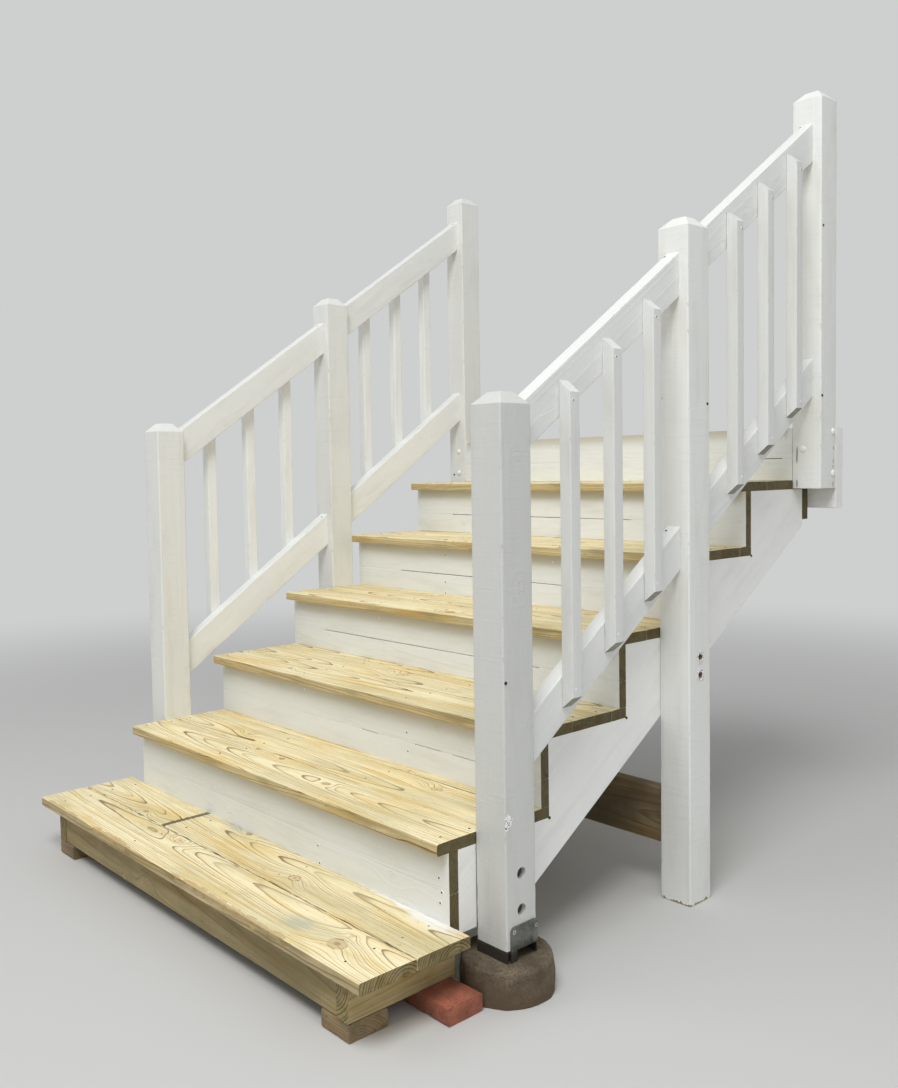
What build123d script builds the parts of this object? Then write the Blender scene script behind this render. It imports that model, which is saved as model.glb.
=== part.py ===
from build123d import *
import os

# Exterior deck stair: a low box step, a flight of five treads and six risers on four
# stringers, and a post-and-baluster rail on each side.
# Frame: X to the right of someone going up, Y up the flight, Z up, millimetres.
# Heights are taken from the top of the first tread, lengths from the face of the first riser,
# and both are moved at the end to the middle of the footprint and the ground.

# flight
tread_count = 5
step_rise = 178.0            # from one tread top to the next
step_run = 279.4             # from one riser face to the next
stair_width = 1384.0         # over the outer faces of the outer stringers
nosing = 32.0                # tread front edge ahead of the riser face
tread_thickness = 25.4
riser_thickness = 25.4
front_board_width = 139.7    # first board of a tread
middle_board_width = 139.7   # second board of a tread, the ripped strip fills the rest
board_gap = 1.6              # open seam between neighbouring boards
tread_edge_radius = 5.0      # eased front edge of a tread
riser_lower_board = 63.5     # lower of the two boards of a riser, up to the seam
last_run_set_forward = 31.8  # the last riser stands this much ahead of the regular run

# stringers
stringer_thickness = 38.1
stringer_depth = 241.3       # square to the slope, before the notches
stringer_toe = 26.0          # level cut of the foot below the top of the box step
inner_stringer_count = 2

# posts
post_size = 89.0
post_cap_chamfer = 25.4
front_post_setback = 76.2    # front face behind the first riser face
front_post_foot = 228.6      # end of the front posts below the first tread top
front_post_head = 21.5       # post top above the rail where it meets the post
mid_post_head = 26.5
top_post_head = 33.5
top_post_foot = 2.5          # end of the top posts above the underside of the last tread
front_bolt_radius = 12.7     # counterbores in the outer face of the front posts
front_bolt_depth = 12.0
front_bolt_upper = 75.5      # below the first tread top
front_bolt_pitch = 76.5
mid_bolt_radius = 8.0
mid_bolt_depth = 14.0
mid_bolt_lower = 64.0        # above the top of the second tread
mid_bolt_pitch = 45.0

# post bases and piers
base_plate = 3.0
base_standoff = 25.4
base_strap = 48.0            # outer strap above the foot of the post
base_strap_width = 80.0      # flush with the rear face of the post
base_strap_gap = 4.6         # inner strap ends this far below the stringer
pier_radius = 101.6
pier_edge = 6.0

# rails and balusters
rail_pitch = 0.687           # rise of the upper rails for each unit of run
lower_rail_pitch = 0.693
rail_width = 38.1
rail_depth = 88.9            # square to the slope
top_rail_height = 893.5      # top edge at the rear face of the front post
lower_rail_height = 226.5    # the same for the lower rail
baluster_size = 31.75
balusters_per_bay = 3
lower_bay_drop = 38.0        # baluster top below the top edge of the upper rail
upper_bay_drop = 25.0
baluster_lift = 28.0         # lower end above the underside of the lower rail
baluster_bevel = 26.0

# box step
box_overhang = 70.0          # board ends past the sides of the flight
box_shift = -9.0             # the box step stands a little left of the flight
box_board_width = 139.7
box_board_thickness = 25.4
box_board_radius = 4.0
box_joint_offset = 478.0     # butt joint of the rear board, from its left end
box_lumber = 38.1            # thickness of the frame
box_frame_height = 88.9
box_frame_margin = 1.0       # frame past each side of the flight
box_front_overhang = 25.4
box_frame_rear = 19.0        # frame reaches this far under the first riser
box_joist_count = 2
block_length = 96.0
block_width = 89.0
paver_length = 193.0
paver_width = 92.0
paver_gap = 6.0              # pavers stay this clear of the piers
paver_reach = 88.0           # how far a paver shows beside the frame
support_height = 38.0        # blocks and pavers, ground to frame
ease = 2.0                   # small eased edges of sawn lumber

# head of the flight and the tie between the middle posts
hanger_thickness = 31.0
hanger_drop = 90.0           # hanger below the underside of the last tread
rim_thickness = 38.1
rim_depth = 235.0
tie_depth = 139.7
tie_thickness = 38.1
tie_top = 61.0               # below the first tread top

# derived places
half_width = stair_width / 2
box_length = stair_width + 2 * box_overhang
box_frame_width = stair_width + 2 * box_frame_margin
box_top = -step_rise
box_frame_top = box_top - box_board_thickness
ground = box_frame_top - box_frame_height - support_height
slope = step_rise / step_run
pitch_length = (step_rise**2 + step_run**2) ** 0.5
last_riser = tread_count * step_run - last_run_set_forward
regular_rear = tread_count * step_run + riser_thickness
deck_underside = tread_count * step_rise - tread_thickness
last_tread_top = (tread_count - 1) * step_rise
last_tread_underside = last_tread_top - tread_thickness
box_depth = 2 * box_board_width + board_gap
hanger_rear = regular_rear + hanger_thickness
rear_end = hanger_rear + rim_thickness
shift_y = -(rear_end - box_depth) / 2
shift_z = -ground

stringer_front = riser_thickness
stringer_foot = box_top - stringer_toe
stringer_drop = stringer_depth * pitch_length / step_run
front_post_y = front_post_setback + post_size / 2
top_post_y = hanger_rear - post_size / 2
mid_post_y = (front_post_y + top_post_y) / 2
post_x = half_width + post_size / 2
rail_start = front_post_y + post_size / 2


def place(y, z):
    """Return a point of the side view in the shared frame."""
    return (y + shift_y, z + shift_z)


def rail_top_at(y):
    """Return the height of the upper rail's top edge at the length y."""
    return top_rail_height + rail_pitch * (y - rail_start)


def lower_rail_top_at(y):
    """Return the height of the lower rail's top edge at the length y."""
    return lower_rail_height + lower_rail_pitch * (y - rail_start)


def upright_depth(pitch):
    """Return the depth of a rail measured upright."""
    return rail_depth * (1 + pitch**2) ** 0.5


def stringer_underside(y):
    """Return the height of the sloping underside of a stringer."""
    return slope * (y - riser_thickness) - tread_thickness - stringer_drop


def finish(piece, label):
    """Name a finished piece and write it."""
    piece.part.label = label
    export_step(piece.part, "parts/" + label + ".step")


os.makedirs("parts", exist_ok=True)

# box step

box_x = box_shift
front_edge = -box_depth

with BuildPart() as box_front_board:
    with BuildSketch(Plane.XY.offset(box_frame_top + shift_z)):
        with Locations((box_x, front_edge + box_board_width / 2 + shift_y)):
            Rectangle(box_length, box_board_width)
    extrude(amount=box_board_thickness)
    long_edges = box_front_board.edges().filter_by(Axis.X).group_by(Axis.Z)[-1]
    fillet(long_edges, radius=box_board_radius)
finish(box_front_board, "box_front_board")

joint_x = box_x - box_length / 2 + box_joint_offset
rest_length = box_length - box_joint_offset - board_gap
with BuildPart() as box_back_board:
    with BuildSketch(Plane.XY.offset(box_frame_top + shift_z)):
        with Locations((joint_x - box_joint_offset / 2, -box_board_width / 2 + shift_y)):
            Rectangle(box_joint_offset, box_board_width)
        with Locations((joint_x + board_gap + rest_length / 2, -box_board_width / 2 + shift_y)):
            Rectangle(rest_length, box_board_width)
    extrude(amount=box_board_thickness)
    long_edges = box_back_board.edges().filter_by(Axis.X).group_by(Axis.Z)[-1]
    fillet(long_edges, radius=box_board_radius)
finish(box_back_board, "box_back_board")

frame_front = front_edge + box_front_overhang
frame_depth = box_frame_rear - frame_front
frame_base = box_frame_top - box_frame_height
with BuildPart() as box_sides:
    with BuildSketch(Plane.XY.offset(frame_base + shift_z)):
        for side in (-1, 1):
            side_x = box_x + side * (box_frame_width - box_lumber) / 2
            with Locations((side_x, frame_front + frame_depth / 2 + shift_y)):
                Rectangle(box_lumber, frame_depth)
    extrude(amount=box_frame_height)
    chamfer(box_sides.edges().filter_by(Axis.Z), length=ease)
finish(box_sides, "box_sides")

inside_width = box_frame_width - 2 * box_lumber
with BuildPart() as box_rims:
    with BuildSketch(Plane.XY.offset(frame_base + shift_z)):
        for rim_y in (frame_front + box_lumber / 2 + ease, box_frame_rear - box_lumber / 2):
            with Locations((box_x, rim_y + shift_y)):
                Rectangle(inside_width, box_lumber)
    extrude(amount=box_frame_height)
finish(box_rims, "box_rims")

joist_front = frame_front + ease + box_lumber
joist_length = box_frame_rear - box_lumber - joist_front
with BuildPart() as box_joists:
    with BuildSketch(Plane.XY.offset(frame_base + shift_z)):
        for i in range(box_joist_count):
            joist_x = box_x - inside_width / 2 + inside_width * (i + 1) / (box_joist_count + 1)
            with Locations((joist_x, joist_front + joist_length / 2 + shift_y)):
                Rectangle(box_lumber, joist_length)
    extrude(amount=box_frame_height)
finish(box_joists, "box_joists")

with BuildPart() as box_blocks:
    with BuildSketch(Plane.XY.offset(ground + shift_z)):
        for side in (-1, 1):
            block_x = box_x + side * (box_frame_width - block_width) / 2
            with Locations((block_x, frame_front + block_length / 2 + shift_y)):
                Rectangle(block_width, block_length)
    extrude(amount=support_height)
    chamfer(box_blocks.edges().filter_by(Axis.Z), length=ease)
finish(box_blocks, "box_blocks")

paver_rear = front_post_y - pier_radius - paver_gap
with BuildPart() as box_pavers:
    with BuildSketch(Plane.XY.offset(ground + shift_z)):
        for side in (-1, 1):
            paver_x = box_x + side * (box_frame_width / 2 + paver_reach - paver_length / 2)
            with Locations((paver_x, paver_rear - paver_width / 2 + shift_y)):
                Rectangle(paver_length, paver_width)
    extrude(amount=support_height)
    chamfer(box_pavers.edges().group_by(Axis.Z)[-1], length=ease)
finish(box_pavers, "box_pavers")

# treads and risers

for k in range(1, tread_count + 1):
    tread_front = (k - 1) * step_run - nosing
    next_riser = last_riser if k == tread_count else k * step_run
    tread_rear = next_riser + riser_thickness
    first_seam = tread_front + front_board_width
    second_seam = first_seam + board_gap + middle_board_width
    strips = [
        (tread_front, first_seam),
        (first_seam + board_gap, second_seam),
        (second_seam + board_gap, tread_rear),
    ]
    with BuildPart() as tread:
        with BuildSketch(Plane.XY.offset((k - 1) * step_rise - tread_thickness + shift_z)):
            for start, end in strips:
                with Locations((0, (start + end) / 2 + shift_y)):
                    Rectangle(stair_width, end - start)
        extrude(amount=tread_thickness)
        nose_edges = tread.edges().filter_by(Axis.X).group_by(Axis.Y)[0]
        fillet(nose_edges, radius=tread_edge_radius)
    finish(tread, "tread_" + str(k))

for k in range(1, tread_count + 2):
    riser_face = last_riser if k == tread_count + 1 else (k - 1) * step_run
    riser_base = (k - 2) * step_rise if k > 1 else box_frame_top
    riser_top = (k - 1) * step_rise - tread_thickness
    seam = (k - 2) * step_rise + riser_lower_board
    with BuildPart() as riser:
        with BuildSketch(Plane.XZ.offset(-(riser_face + shift_y))):
            for start, end in ((riser_base, seam), (seam + board_gap, riser_top)):
                with Locations((0, (start + end) / 2 + shift_z)):
                    Rectangle(stair_width, end - start)
        extrude(amount=-riser_thickness)
    finish(riser, "riser_" + str(k))

# stringers: one notched profile, cut four times

notch_line = [(stringer_front, stringer_foot), (stringer_front, -tread_thickness)]
for k in range(1, tread_count):
    notch_line.append((k * step_run + riser_thickness, (k - 1) * step_rise - tread_thickness))
    notch_line.append((k * step_run + riser_thickness, k * step_rise - tread_thickness))
notch_line.append((regular_rear, last_tread_underside))
notch_line.append((regular_rear, stringer_underside(regular_rear)))
foot_heel = riser_thickness + (stringer_foot + tread_thickness + stringer_drop) / slope
notch_line.append((foot_heel, stringer_foot))

inner_spacing = (stair_width - stringer_thickness) / (inner_stringer_count + 1)
inner_x = [
    -half_width + stringer_thickness / 2 + inner_spacing * (i + 1)
    for i in range(inner_stringer_count)
]
stringer_sets = {
    "stringer_left": [-half_width + stringer_thickness / 2],
    "stringer_right": [half_width - stringer_thickness / 2],
    "stringers_inner": inner_x,
}
for label, centres in stringer_sets.items():
    with BuildPart() as stringer:
        for centre in centres:
            with BuildSketch(Plane.YZ.offset(centre - stringer_thickness / 2)):
                with BuildLine():
                    Polyline(*[place(y, z) for y, z in notch_line], close=True)
                make_face()
            extrude(amount=stringer_thickness)
    finish(stringer, label)

# posts

front_foot = -front_post_foot
front_top = rail_top_at(front_post_y + post_size / 2) + front_post_head
mid_top = rail_top_at(mid_post_y + post_size / 2) + mid_post_head
top_top = rail_top_at(top_post_y + post_size / 2) + top_post_head
top_foot = last_tread_underside + top_post_foot
mid_bolt = step_rise + mid_bolt_lower
post_sets = [
    ("post_front", front_post_y, front_foot, front_top,
     front_bolt_radius, front_bolt_depth, [-front_bolt_upper, -front_bolt_upper - front_bolt_pitch]),
    ("post_mid", mid_post_y, ground, mid_top,
     mid_bolt_radius, mid_bolt_depth, [mid_bolt, mid_bolt + mid_bolt_pitch]),
    ("post_top", top_post_y, top_foot, top_top, 0, 0, []),
]
for stem, post_y, foot, top, bolt_radius, bolt_depth, bolt_heights in post_sets:
    for side, hand in ((-1, "left"), (1, "right")):
        outer = Plane(
            origin=(side * (half_width + post_size), post_y + shift_y, 0),
            x_dir=(0, side, 0),
            z_dir=(side, 0, 0),
        )
        with BuildPart() as post:
            with BuildSketch(Plane.XY.offset(foot + shift_z)):
                with Locations((side * post_x, post_y + shift_y)):
                    Rectangle(post_size, post_size)
            extrude(amount=top - foot)
            chamfer(post.edges().group_by(Axis.Z)[-1], length=post_cap_chamfer)
            if bolt_heights:
                with BuildSketch(outer):
                    for height in bolt_heights:
                        with Locations((0, height + shift_z)):
                            Circle(bolt_radius)
                extrude(amount=-bolt_depth, mode=Mode.SUBTRACT)
        finish(post, stem + "_" + hand)

# steel standoff bases and the piers under the front posts

base_top = front_foot
base_bottom = front_foot - base_standoff
strap_y = front_post_y + (post_size - base_strap_width) / 2 + shift_y
with BuildPart() as post_bases:
    for side in (-1, 1):
        centre = (side * post_x, front_post_y + shift_y)
        with BuildSketch(Plane.XY.offset(base_bottom + shift_z)):
            with Locations(centre):
                Rectangle(post_size, post_size)
        extrude(amount=base_standoff)
        with BuildSketch(Plane.XY.offset(base_bottom + shift_z)):
            with Locations(centre):
                Rectangle(post_size, post_size - 2 * base_plate)
        extrude(amount=base_standoff - base_plate, mode=Mode.SUBTRACT)
        with BuildSketch(Plane.XY.offset(base_bottom + shift_z)):
            with Locations((side * (post_x + post_size / 2 + base_plate / 2), strap_y)):
                Rectangle(base_plate, base_strap_width)
        extrude(amount=base_standoff + base_strap)
        with BuildSketch(Plane.XY.offset(base_bottom + shift_z)):
            with Locations((side * (post_x - post_size / 2 - base_plate / 2), strap_y)):
                Rectangle(base_plate, base_strap_width)
        extrude(amount=stringer_foot - base_strap_gap - base_bottom)
finish(post_bases, "post_bases")

with BuildPart() as piers:
    with BuildSketch(Plane.XY.offset(ground + shift_z)):
        for side in (-1, 1):
            with Locations((side * post_x, front_post_y + shift_y)):
                Circle(pier_radius)
    extrude(amount=base_bottom - ground)
    chamfer(piers.edges().group_by(Axis.Z)[-1], length=pier_edge)
finish(piers, "piers")

# rails and balusters, two bays on each side

bays = [
    ("lower", front_post_y + post_size / 2, mid_post_y - post_size / 2, lower_bay_drop),
    ("upper", mid_post_y + post_size / 2, top_post_y - post_size / 2, upper_bay_drop),
]
rails = [("top", rail_top_at, rail_pitch), ("bottom", lower_rail_top_at, lower_rail_pitch)]
for hand, side in (("left", -1), ("right", 1)):
    for bay, bay_start, bay_end, baluster_drop in bays:
        for kind, top_edge_at, pitch in rails:
            start_z = top_edge_at(bay_start)
            end_z = top_edge_at(bay_end)
            rail_height = upright_depth(pitch)
            with BuildPart() as rail:
                with BuildSketch(Plane.YZ.offset(side * post_x - rail_width / 2)):
                    with BuildLine():
                        Polyline(
                            place(bay_start, start_z - rail_height),
                            place(bay_end, end_z - rail_height),
                            place(bay_end, end_z),
                            place(bay_start, start_z),
                            close=True,
                        )
                    make_face()
                extrude(amount=rail_width)
            finish(rail, "rail_" + kind + "_" + bay + "_" + hand)

        gap = (bay_end - bay_start - balusters_per_bay * baluster_size) / (balusters_per_bay + 1)
        inner_face = side * (post_x + rail_width / 2)
        outer_face = side * (post_x + rail_width / 2 + baluster_size)
        with BuildPart() as balusters:
            for i in range(balusters_per_bay):
                middle = bay_start + gap * (i + 1) + baluster_size * (i + 0.5)
                upper = rail_top_at(middle) - baluster_drop + shift_z
                rail_underside = lower_rail_top_at(middle) - upright_depth(lower_rail_pitch)
                lower = rail_underside + baluster_lift + shift_z
                with BuildSketch(Plane.XZ.offset(-(middle - baluster_size / 2 + shift_y))):
                    with BuildLine():
                        Polyline(
                            (inner_face, lower),
                            (outer_face, lower + baluster_bevel),
                            (outer_face, upper - baluster_bevel),
                            (inner_face, upper),
                            close=True,
                        )
                    make_face()
                extrude(amount=-baluster_size)
        finish(balusters, "balusters_" + bay + "_" + hand)

# head of the flight

with BuildPart() as packing_board:
    with BuildSketch(Plane.XZ.offset(-(last_riser + riser_thickness + shift_y))):
        with Locations((0, (last_tread_underside + deck_underside) / 2 + shift_z)):
            Rectangle(stair_width, deck_underside - last_tread_underside)
    extrude(amount=-(regular_rear - last_riser - riser_thickness))
finish(packing_board, "packing_board")

hanger_base = last_tread_underside - hanger_drop
with BuildPart() as hanger_board:
    with BuildSketch(Plane.XZ.offset(-(regular_rear + shift_y))):
        with Locations((0, (hanger_base + deck_underside) / 2 + shift_z)):
            Rectangle(stair_width, deck_underside - hanger_base)
    extrude(amount=-hanger_thickness)
finish(hanger_board, "hanger_board")

with BuildPart() as rim_board:
    with BuildSketch(Plane.XZ.offset(-(hanger_rear + shift_y))):
        with Locations((0, deck_underside - rim_depth / 2 + shift_z)):
            Rectangle(stair_width + 2 * post_size, rim_depth)
    extrude(amount=-rim_thickness)
finish(rim_board, "rim_board")

with BuildPart() as cross_tie:
    with BuildSketch(Plane.XZ.offset(-(mid_post_y - tie_thickness / 2 + shift_y))):
        with Locations((0, -tie_top - tie_depth / 2 + shift_z)):
            Rectangle(stair_width, tie_depth)
    extrude(amount=-tie_thickness)
finish(cross_tie, "cross_tie")
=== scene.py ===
"""Looks of an outdoor wooden stair: a box step, pine treads, painted risers, stringers, posts and rails."""

from __future__ import annotations

import logging
import math
import random
from dataclasses import dataclass, field
from enum import Enum
from typing import Any, Iterable, Mapping, Sequence, Union

import bmesh
import bpy
from mathutils import Matrix, Vector, noise


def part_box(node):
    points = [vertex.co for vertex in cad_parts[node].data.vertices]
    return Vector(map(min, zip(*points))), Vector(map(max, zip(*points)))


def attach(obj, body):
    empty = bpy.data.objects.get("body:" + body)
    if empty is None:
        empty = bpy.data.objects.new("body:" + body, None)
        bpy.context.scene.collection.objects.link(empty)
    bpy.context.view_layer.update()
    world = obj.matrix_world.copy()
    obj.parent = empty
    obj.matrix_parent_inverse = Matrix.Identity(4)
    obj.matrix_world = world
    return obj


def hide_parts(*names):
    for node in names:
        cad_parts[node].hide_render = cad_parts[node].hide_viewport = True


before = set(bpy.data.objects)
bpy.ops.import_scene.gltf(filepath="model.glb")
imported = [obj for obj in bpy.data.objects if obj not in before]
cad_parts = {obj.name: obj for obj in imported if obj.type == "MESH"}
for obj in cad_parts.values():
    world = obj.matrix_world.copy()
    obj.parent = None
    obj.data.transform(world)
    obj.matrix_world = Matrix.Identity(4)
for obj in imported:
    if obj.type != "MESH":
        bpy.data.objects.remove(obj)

Colour = tuple[float, float, float]
Pair = tuple[float, float]
Shape = bmesh.types.BMesh
Feed = Union["Wire", float, Sequence[float]]
Inputs = Mapping[Union[str, int], Feed]

log = logging.getLogger("deck_stair")

RIGHT = Vector((1, 0, 0))
BACK = Vector((0, 1, 0))
UP = Vector((0, 0, 1))
IN_PLACE = Matrix.Identity(4)
HANDS = (("left", -1), ("right", 1))
BAYS = ("lower", "upper")
HAIR = 1e-5
SQUARE_ON = 0.9
SHARP = math.radians(38)
KNOT_PLACES = ("knot_a", "knot_b", "knot_c")
SCAR_PLACES = ("scar_1", "scar_2")
POST_HALF = 0.0445
LUMBER = 0.0381
BOARD = 0.0254
GAP = 0.0016
RISE = 0.178
NO_KNOT = Vector((9, 9, 0.01))


def ink(red: int, green: int, blue: int) -> Colour:
    """Return the linear light of a colour that a screen shows as these values from 0 to 255."""
    shown = (red / 255, green / 255, blue / 255)
    return tuple(c / 12.92 if c <= 0.04045 else ((c + 0.055) / 1.055) ** 2.4 for c in shown)


# finishes


@dataclass(frozen=True)
class Wire:
    """A number, a vector or a colour on its way through the nodes of a material."""

    nodes: Nodes
    socket: bpy.types.NodeSocket

    def __add__(self, other: Feed) -> Wire:
        """Return the sum of the two."""
        return self.nodes.math("ADD", self, other)

    def __sub__(self, other: Feed) -> Wire:
        """Return this less the other."""
        return self.nodes.math("SUBTRACT", self, other)

    def __mul__(self, other: Feed) -> Wire:
        """Return the product of the two."""
        return self.nodes.math("MULTIPLY", self, other)

    def __truediv__(self, other: Feed) -> Wire:
        """Return this over the other."""
        return self.nodes.math("DIVIDE", self, other)

    def __abs__(self) -> Wire:
        """Return the number without its sign."""
        return self.nodes.math("ABSOLUTE", self)

    def most(self, other: Feed) -> Wire:
        """Return the larger of the two."""
        return self.nodes.math("MAXIMUM", self, other)

    def parts(self) -> list[Wire]:
        """Return x, y and z of the vector."""
        return [Wire(self.nodes, part) for part in self.nodes.add("SeparateXYZ", {0: self}).outputs]

    def fade(self, low: float, high: float) -> Wire:
        """Return a soft step, 0 at low and 1 at high, which may be the lower of the two."""
        ends = {"Value": self, "From Min": low, "From Max": high}
        return self.nodes.wire("MapRange", ends, interpolation_type="SMOOTHSTEP")

    def noise(self, waves: Sequence[float], detail: float = 2.0, rough: float = 0.5) -> Wire:
        """Return soft noise at this place.

        Args:
            waves: waves for each metre along x, y and z.
            detail: octaves.
            rough: weight of the finer octaves.

        Returns:
            A number around one half.
        """
        place = self.nodes.wire("VectorMath", {0: self, 1: waves}, operation="MULTIPLY")
        inputs = {"Vector": place, "Scale": 1.0, "Detail": detail, "Roughness": rough}
        return self.nodes.wire("TexNoise", inputs)

    def scaled(self, factor: Feed) -> Wire:
        """Return the colour times a number."""
        return self.nodes.wire("VectorMath", {0: self, "Scale": factor}, operation="SCALE")

    def coated(self, *coats: tuple[Wire, float, Feed]) -> Wire:
        """Return the colour under some coats.

        Args:
            coats: where each coat is, from 0 to 1, how thick it is there, and its colour.

        Returns:
            The colour that shows.
        """
        colour = self
        for place, thickness, coat in coats:
            if thickness:
                colour = self.nodes.mix(place * thickness, colour, coat)
        return colour


class Nodes:
    """The node tree of a material or a world, with short calls for the nodes that the finishes share."""

    def __init__(self, owner: Union[bpy.types.Material, bpy.types.World]) -> None:
        """Start the owner's tree."""
        owner.use_nodes = True
        self.owner, self.tree = owner, owner.node_tree

    @classmethod
    def of(cls, name: str) -> Nodes:
        """Start a new material."""
        return cls(bpy.data.materials.new(name))

    def feed(self, socket: bpy.types.NodeSocket, value: Feed) -> None:
        """Link a wire to an input, or set the input's own value.

        Args:
            socket: the input.
            value: a wire, a number or a list of numbers.
        """
        if isinstance(value, Wire):
            self.tree.links.new(value.socket, socket)
        else:
            socket.default_value = (*value, 1) if socket.type == "RGBA" else value

    def add(self, kind: str, inputs: Inputs, **settings: Any) -> bpy.types.Node:
        """Add a node.

        Args:
            kind: its type, without the first word.
            inputs: what its inputs get.
            settings: its own settings.

        Returns:
            The node.
        """
        node = self.tree.nodes.new(f"ShaderNode{kind}")
        for name, value in settings.items():
            setattr(node, name, value)
        for key, value in inputs.items():
            self.feed(node.inputs[key], value)
        return node

    def wire(self, kind: str, inputs: Inputs, output: Union[str, int] = 0, **settings: Any) -> Wire:
        """Add a node and return one of its outputs."""
        return Wire(self, self.add(kind, inputs, **settings).outputs[output])

    def math(self, operation: str, first: Feed, second: Feed = 0.0) -> Wire:
        """Return the result of a Math node."""
        return self.wire("Math", {0: first, 1: second}, operation=operation)

    def squares(self, *parts: Wire) -> Wire:
        """Return the sum of the squares."""
        first, *others = (part * part for part in parts)
        return sum(others, start=first)

    def length(self, *parts: Wire) -> Wire:
        """Return the length of a vector, from its parts."""
        return self.math("SQRT", self.squares(*parts))

    def mix(self, share: Feed, first: Feed, second: Feed, blend: str = "MIX") -> Wire:
        """Return the first colour with a share of the second in it."""
        return self.wire("Mix", {0: share, 6: first, 7: second}, 2, data_type="RGBA", blend_type=blend)

    def vector(self, attribute: str) -> Wire:
        """Return a vector that the mesh holds."""
        return self.wire("Attribute", {}, "Vector", attribute_name=attribute)

    def number(self, attribute: str) -> Wire:
        """Return a number that the mesh holds."""
        return self.wire("Attribute", {}, "Fac", attribute_name=attribute)

    def place(self) -> Wire:
        """Return the point's place on the object."""
        return self.wire("TexCoord", {}, "Object")

    def ramp(self, value: Wire, stops: Sequence[Pair]) -> Wire:
        """Turn a number into a grey.

        Args:
            value: where on the ramp, 0 to 1.
            stops: position and grey of each stop.

        Returns:
            The grey.
        """
        node = self.add("ValToRGB", {0: value})
        band = node.color_ramp
        while len(band.elements) < len(stops):
            band.elements.new(0.5)
        for element, (position, grey) in zip(band.elements, stops):
            element.position = position
            element.color = (grey, grey, grey, 1)
        return Wire(self, node.outputs[0])

    def surface(self, inputs: Inputs) -> None:
        """Feed the material's shader."""
        for key, value in inputs.items():
            self.feed(self.tree.nodes["Principled BSDF"].inputs[key], value)

    def bump(self, height: Wire, depth: float) -> None:
        """Give the shader a bump, from a height of 0 to 1 and its depth in metres."""
        self.surface({"Normal": self.wire("Bump", {"Distance": depth, "Height": height})})


@dataclass(frozen=True)
class Figure:
    """The parts of a wood's figure that a finish colours."""

    late: Wire
    line: Wire
    fibre: Wire
    knot: Wire
    rim: Wire
    heart: Wire
    char: Wire
    tone: Wire
    board: Wire
    pith: Wire
    edge: Wire
    streak: Wire


def wood_figure(nodes: Nodes, ring: float) -> Figure:
    """Draw growth rings round each board's own pith, bent round its knots.

    Args:
        nodes: the material.
        ring: metres between rings.

    Returns:
        The parts of the figure.
    """
    board, pith = nodes.vector("board"), nodes.vector("pith")
    along, across, _ = board.parts()
    quick = pith.noise((7, 30, 30)) - 0.5
    slow = pith.noise((1.2, 3, 3)) - 0.5
    radius = nodes.length(*pith.parts()[1:]) + slow * 0.014 + quick * 0.003

    knot = rim = heart = char = 0.0
    for name in KNOT_PLACES:
        knot_x, knot_y, knot_r = nodes.vector(name).parts()
        off_x, off_y = (along - knot_x) / knot_r, (across - knot_y) / knot_r
        ragged = nodes.length(off_x * 0.72, off_y) + quick * 0.9
        swell = nodes.math("EXPONENT", nodes.squares(off_x * 0.20, off_y * 0.42) * -1.0) * knot_r
        radius = radius + swell * 1.7
        inside = ragged.fade(1.05, 0.85)
        knot = inside.most(knot)
        rim = abs(ragged - 1.0).fade(0.17, 0.03).most(rim)
        heart = ragged.fade(0.42, 0.12).most(heart)
        chance = nodes.wire("TexWhiteNoise", {"W": knot_x * 977.0}, noise_dimensions="1D")
        char = (inside * chance).most(char)

    turns = radius / ring
    turns = turns + nodes.wire("TexNoise", {"Scale": 1.0, "W": turns * 0.45}, noise_dimensions="1D") * 1.5
    phase = nodes.math("FRACT", turns)
    late = nodes.ramp(phase, ((0.0, 0.0), (0.46, 0.03), (0.70, 0.30), (0.86, 0.9), (0.96, 1.0), (1.0, 0.0)))
    line = nodes.ramp(phase, ((0.0, 0.25), (0.02, 0.0), (0.80, 0.0), (0.91, 1.0), (0.985, 1.0), (1.0, 0.25)))
    year = nodes.wire("TexWhiteNoise", {"W": nodes.math("FLOOR", turns)}, noise_dimensions="1D")
    return Figure(
        late=late * (year * 0.55 + 0.45),
        line=line * nodes.math("POWER", year, 0.6),
        fibre=pith.noise((9, 420, 420), 3, 0.6),
        knot=knot,
        rim=rim * pith.noise((60, 90, 90)).fade(0.38, 0.62),
        heart=heart,
        char=char,
        tone=nodes.number("tone"),
        board=board,
        pith=pith,
        edge=nodes.number("edge"),
        streak=pith.noise((1.8, 70, 70), 3, 0.6),
    )


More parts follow.
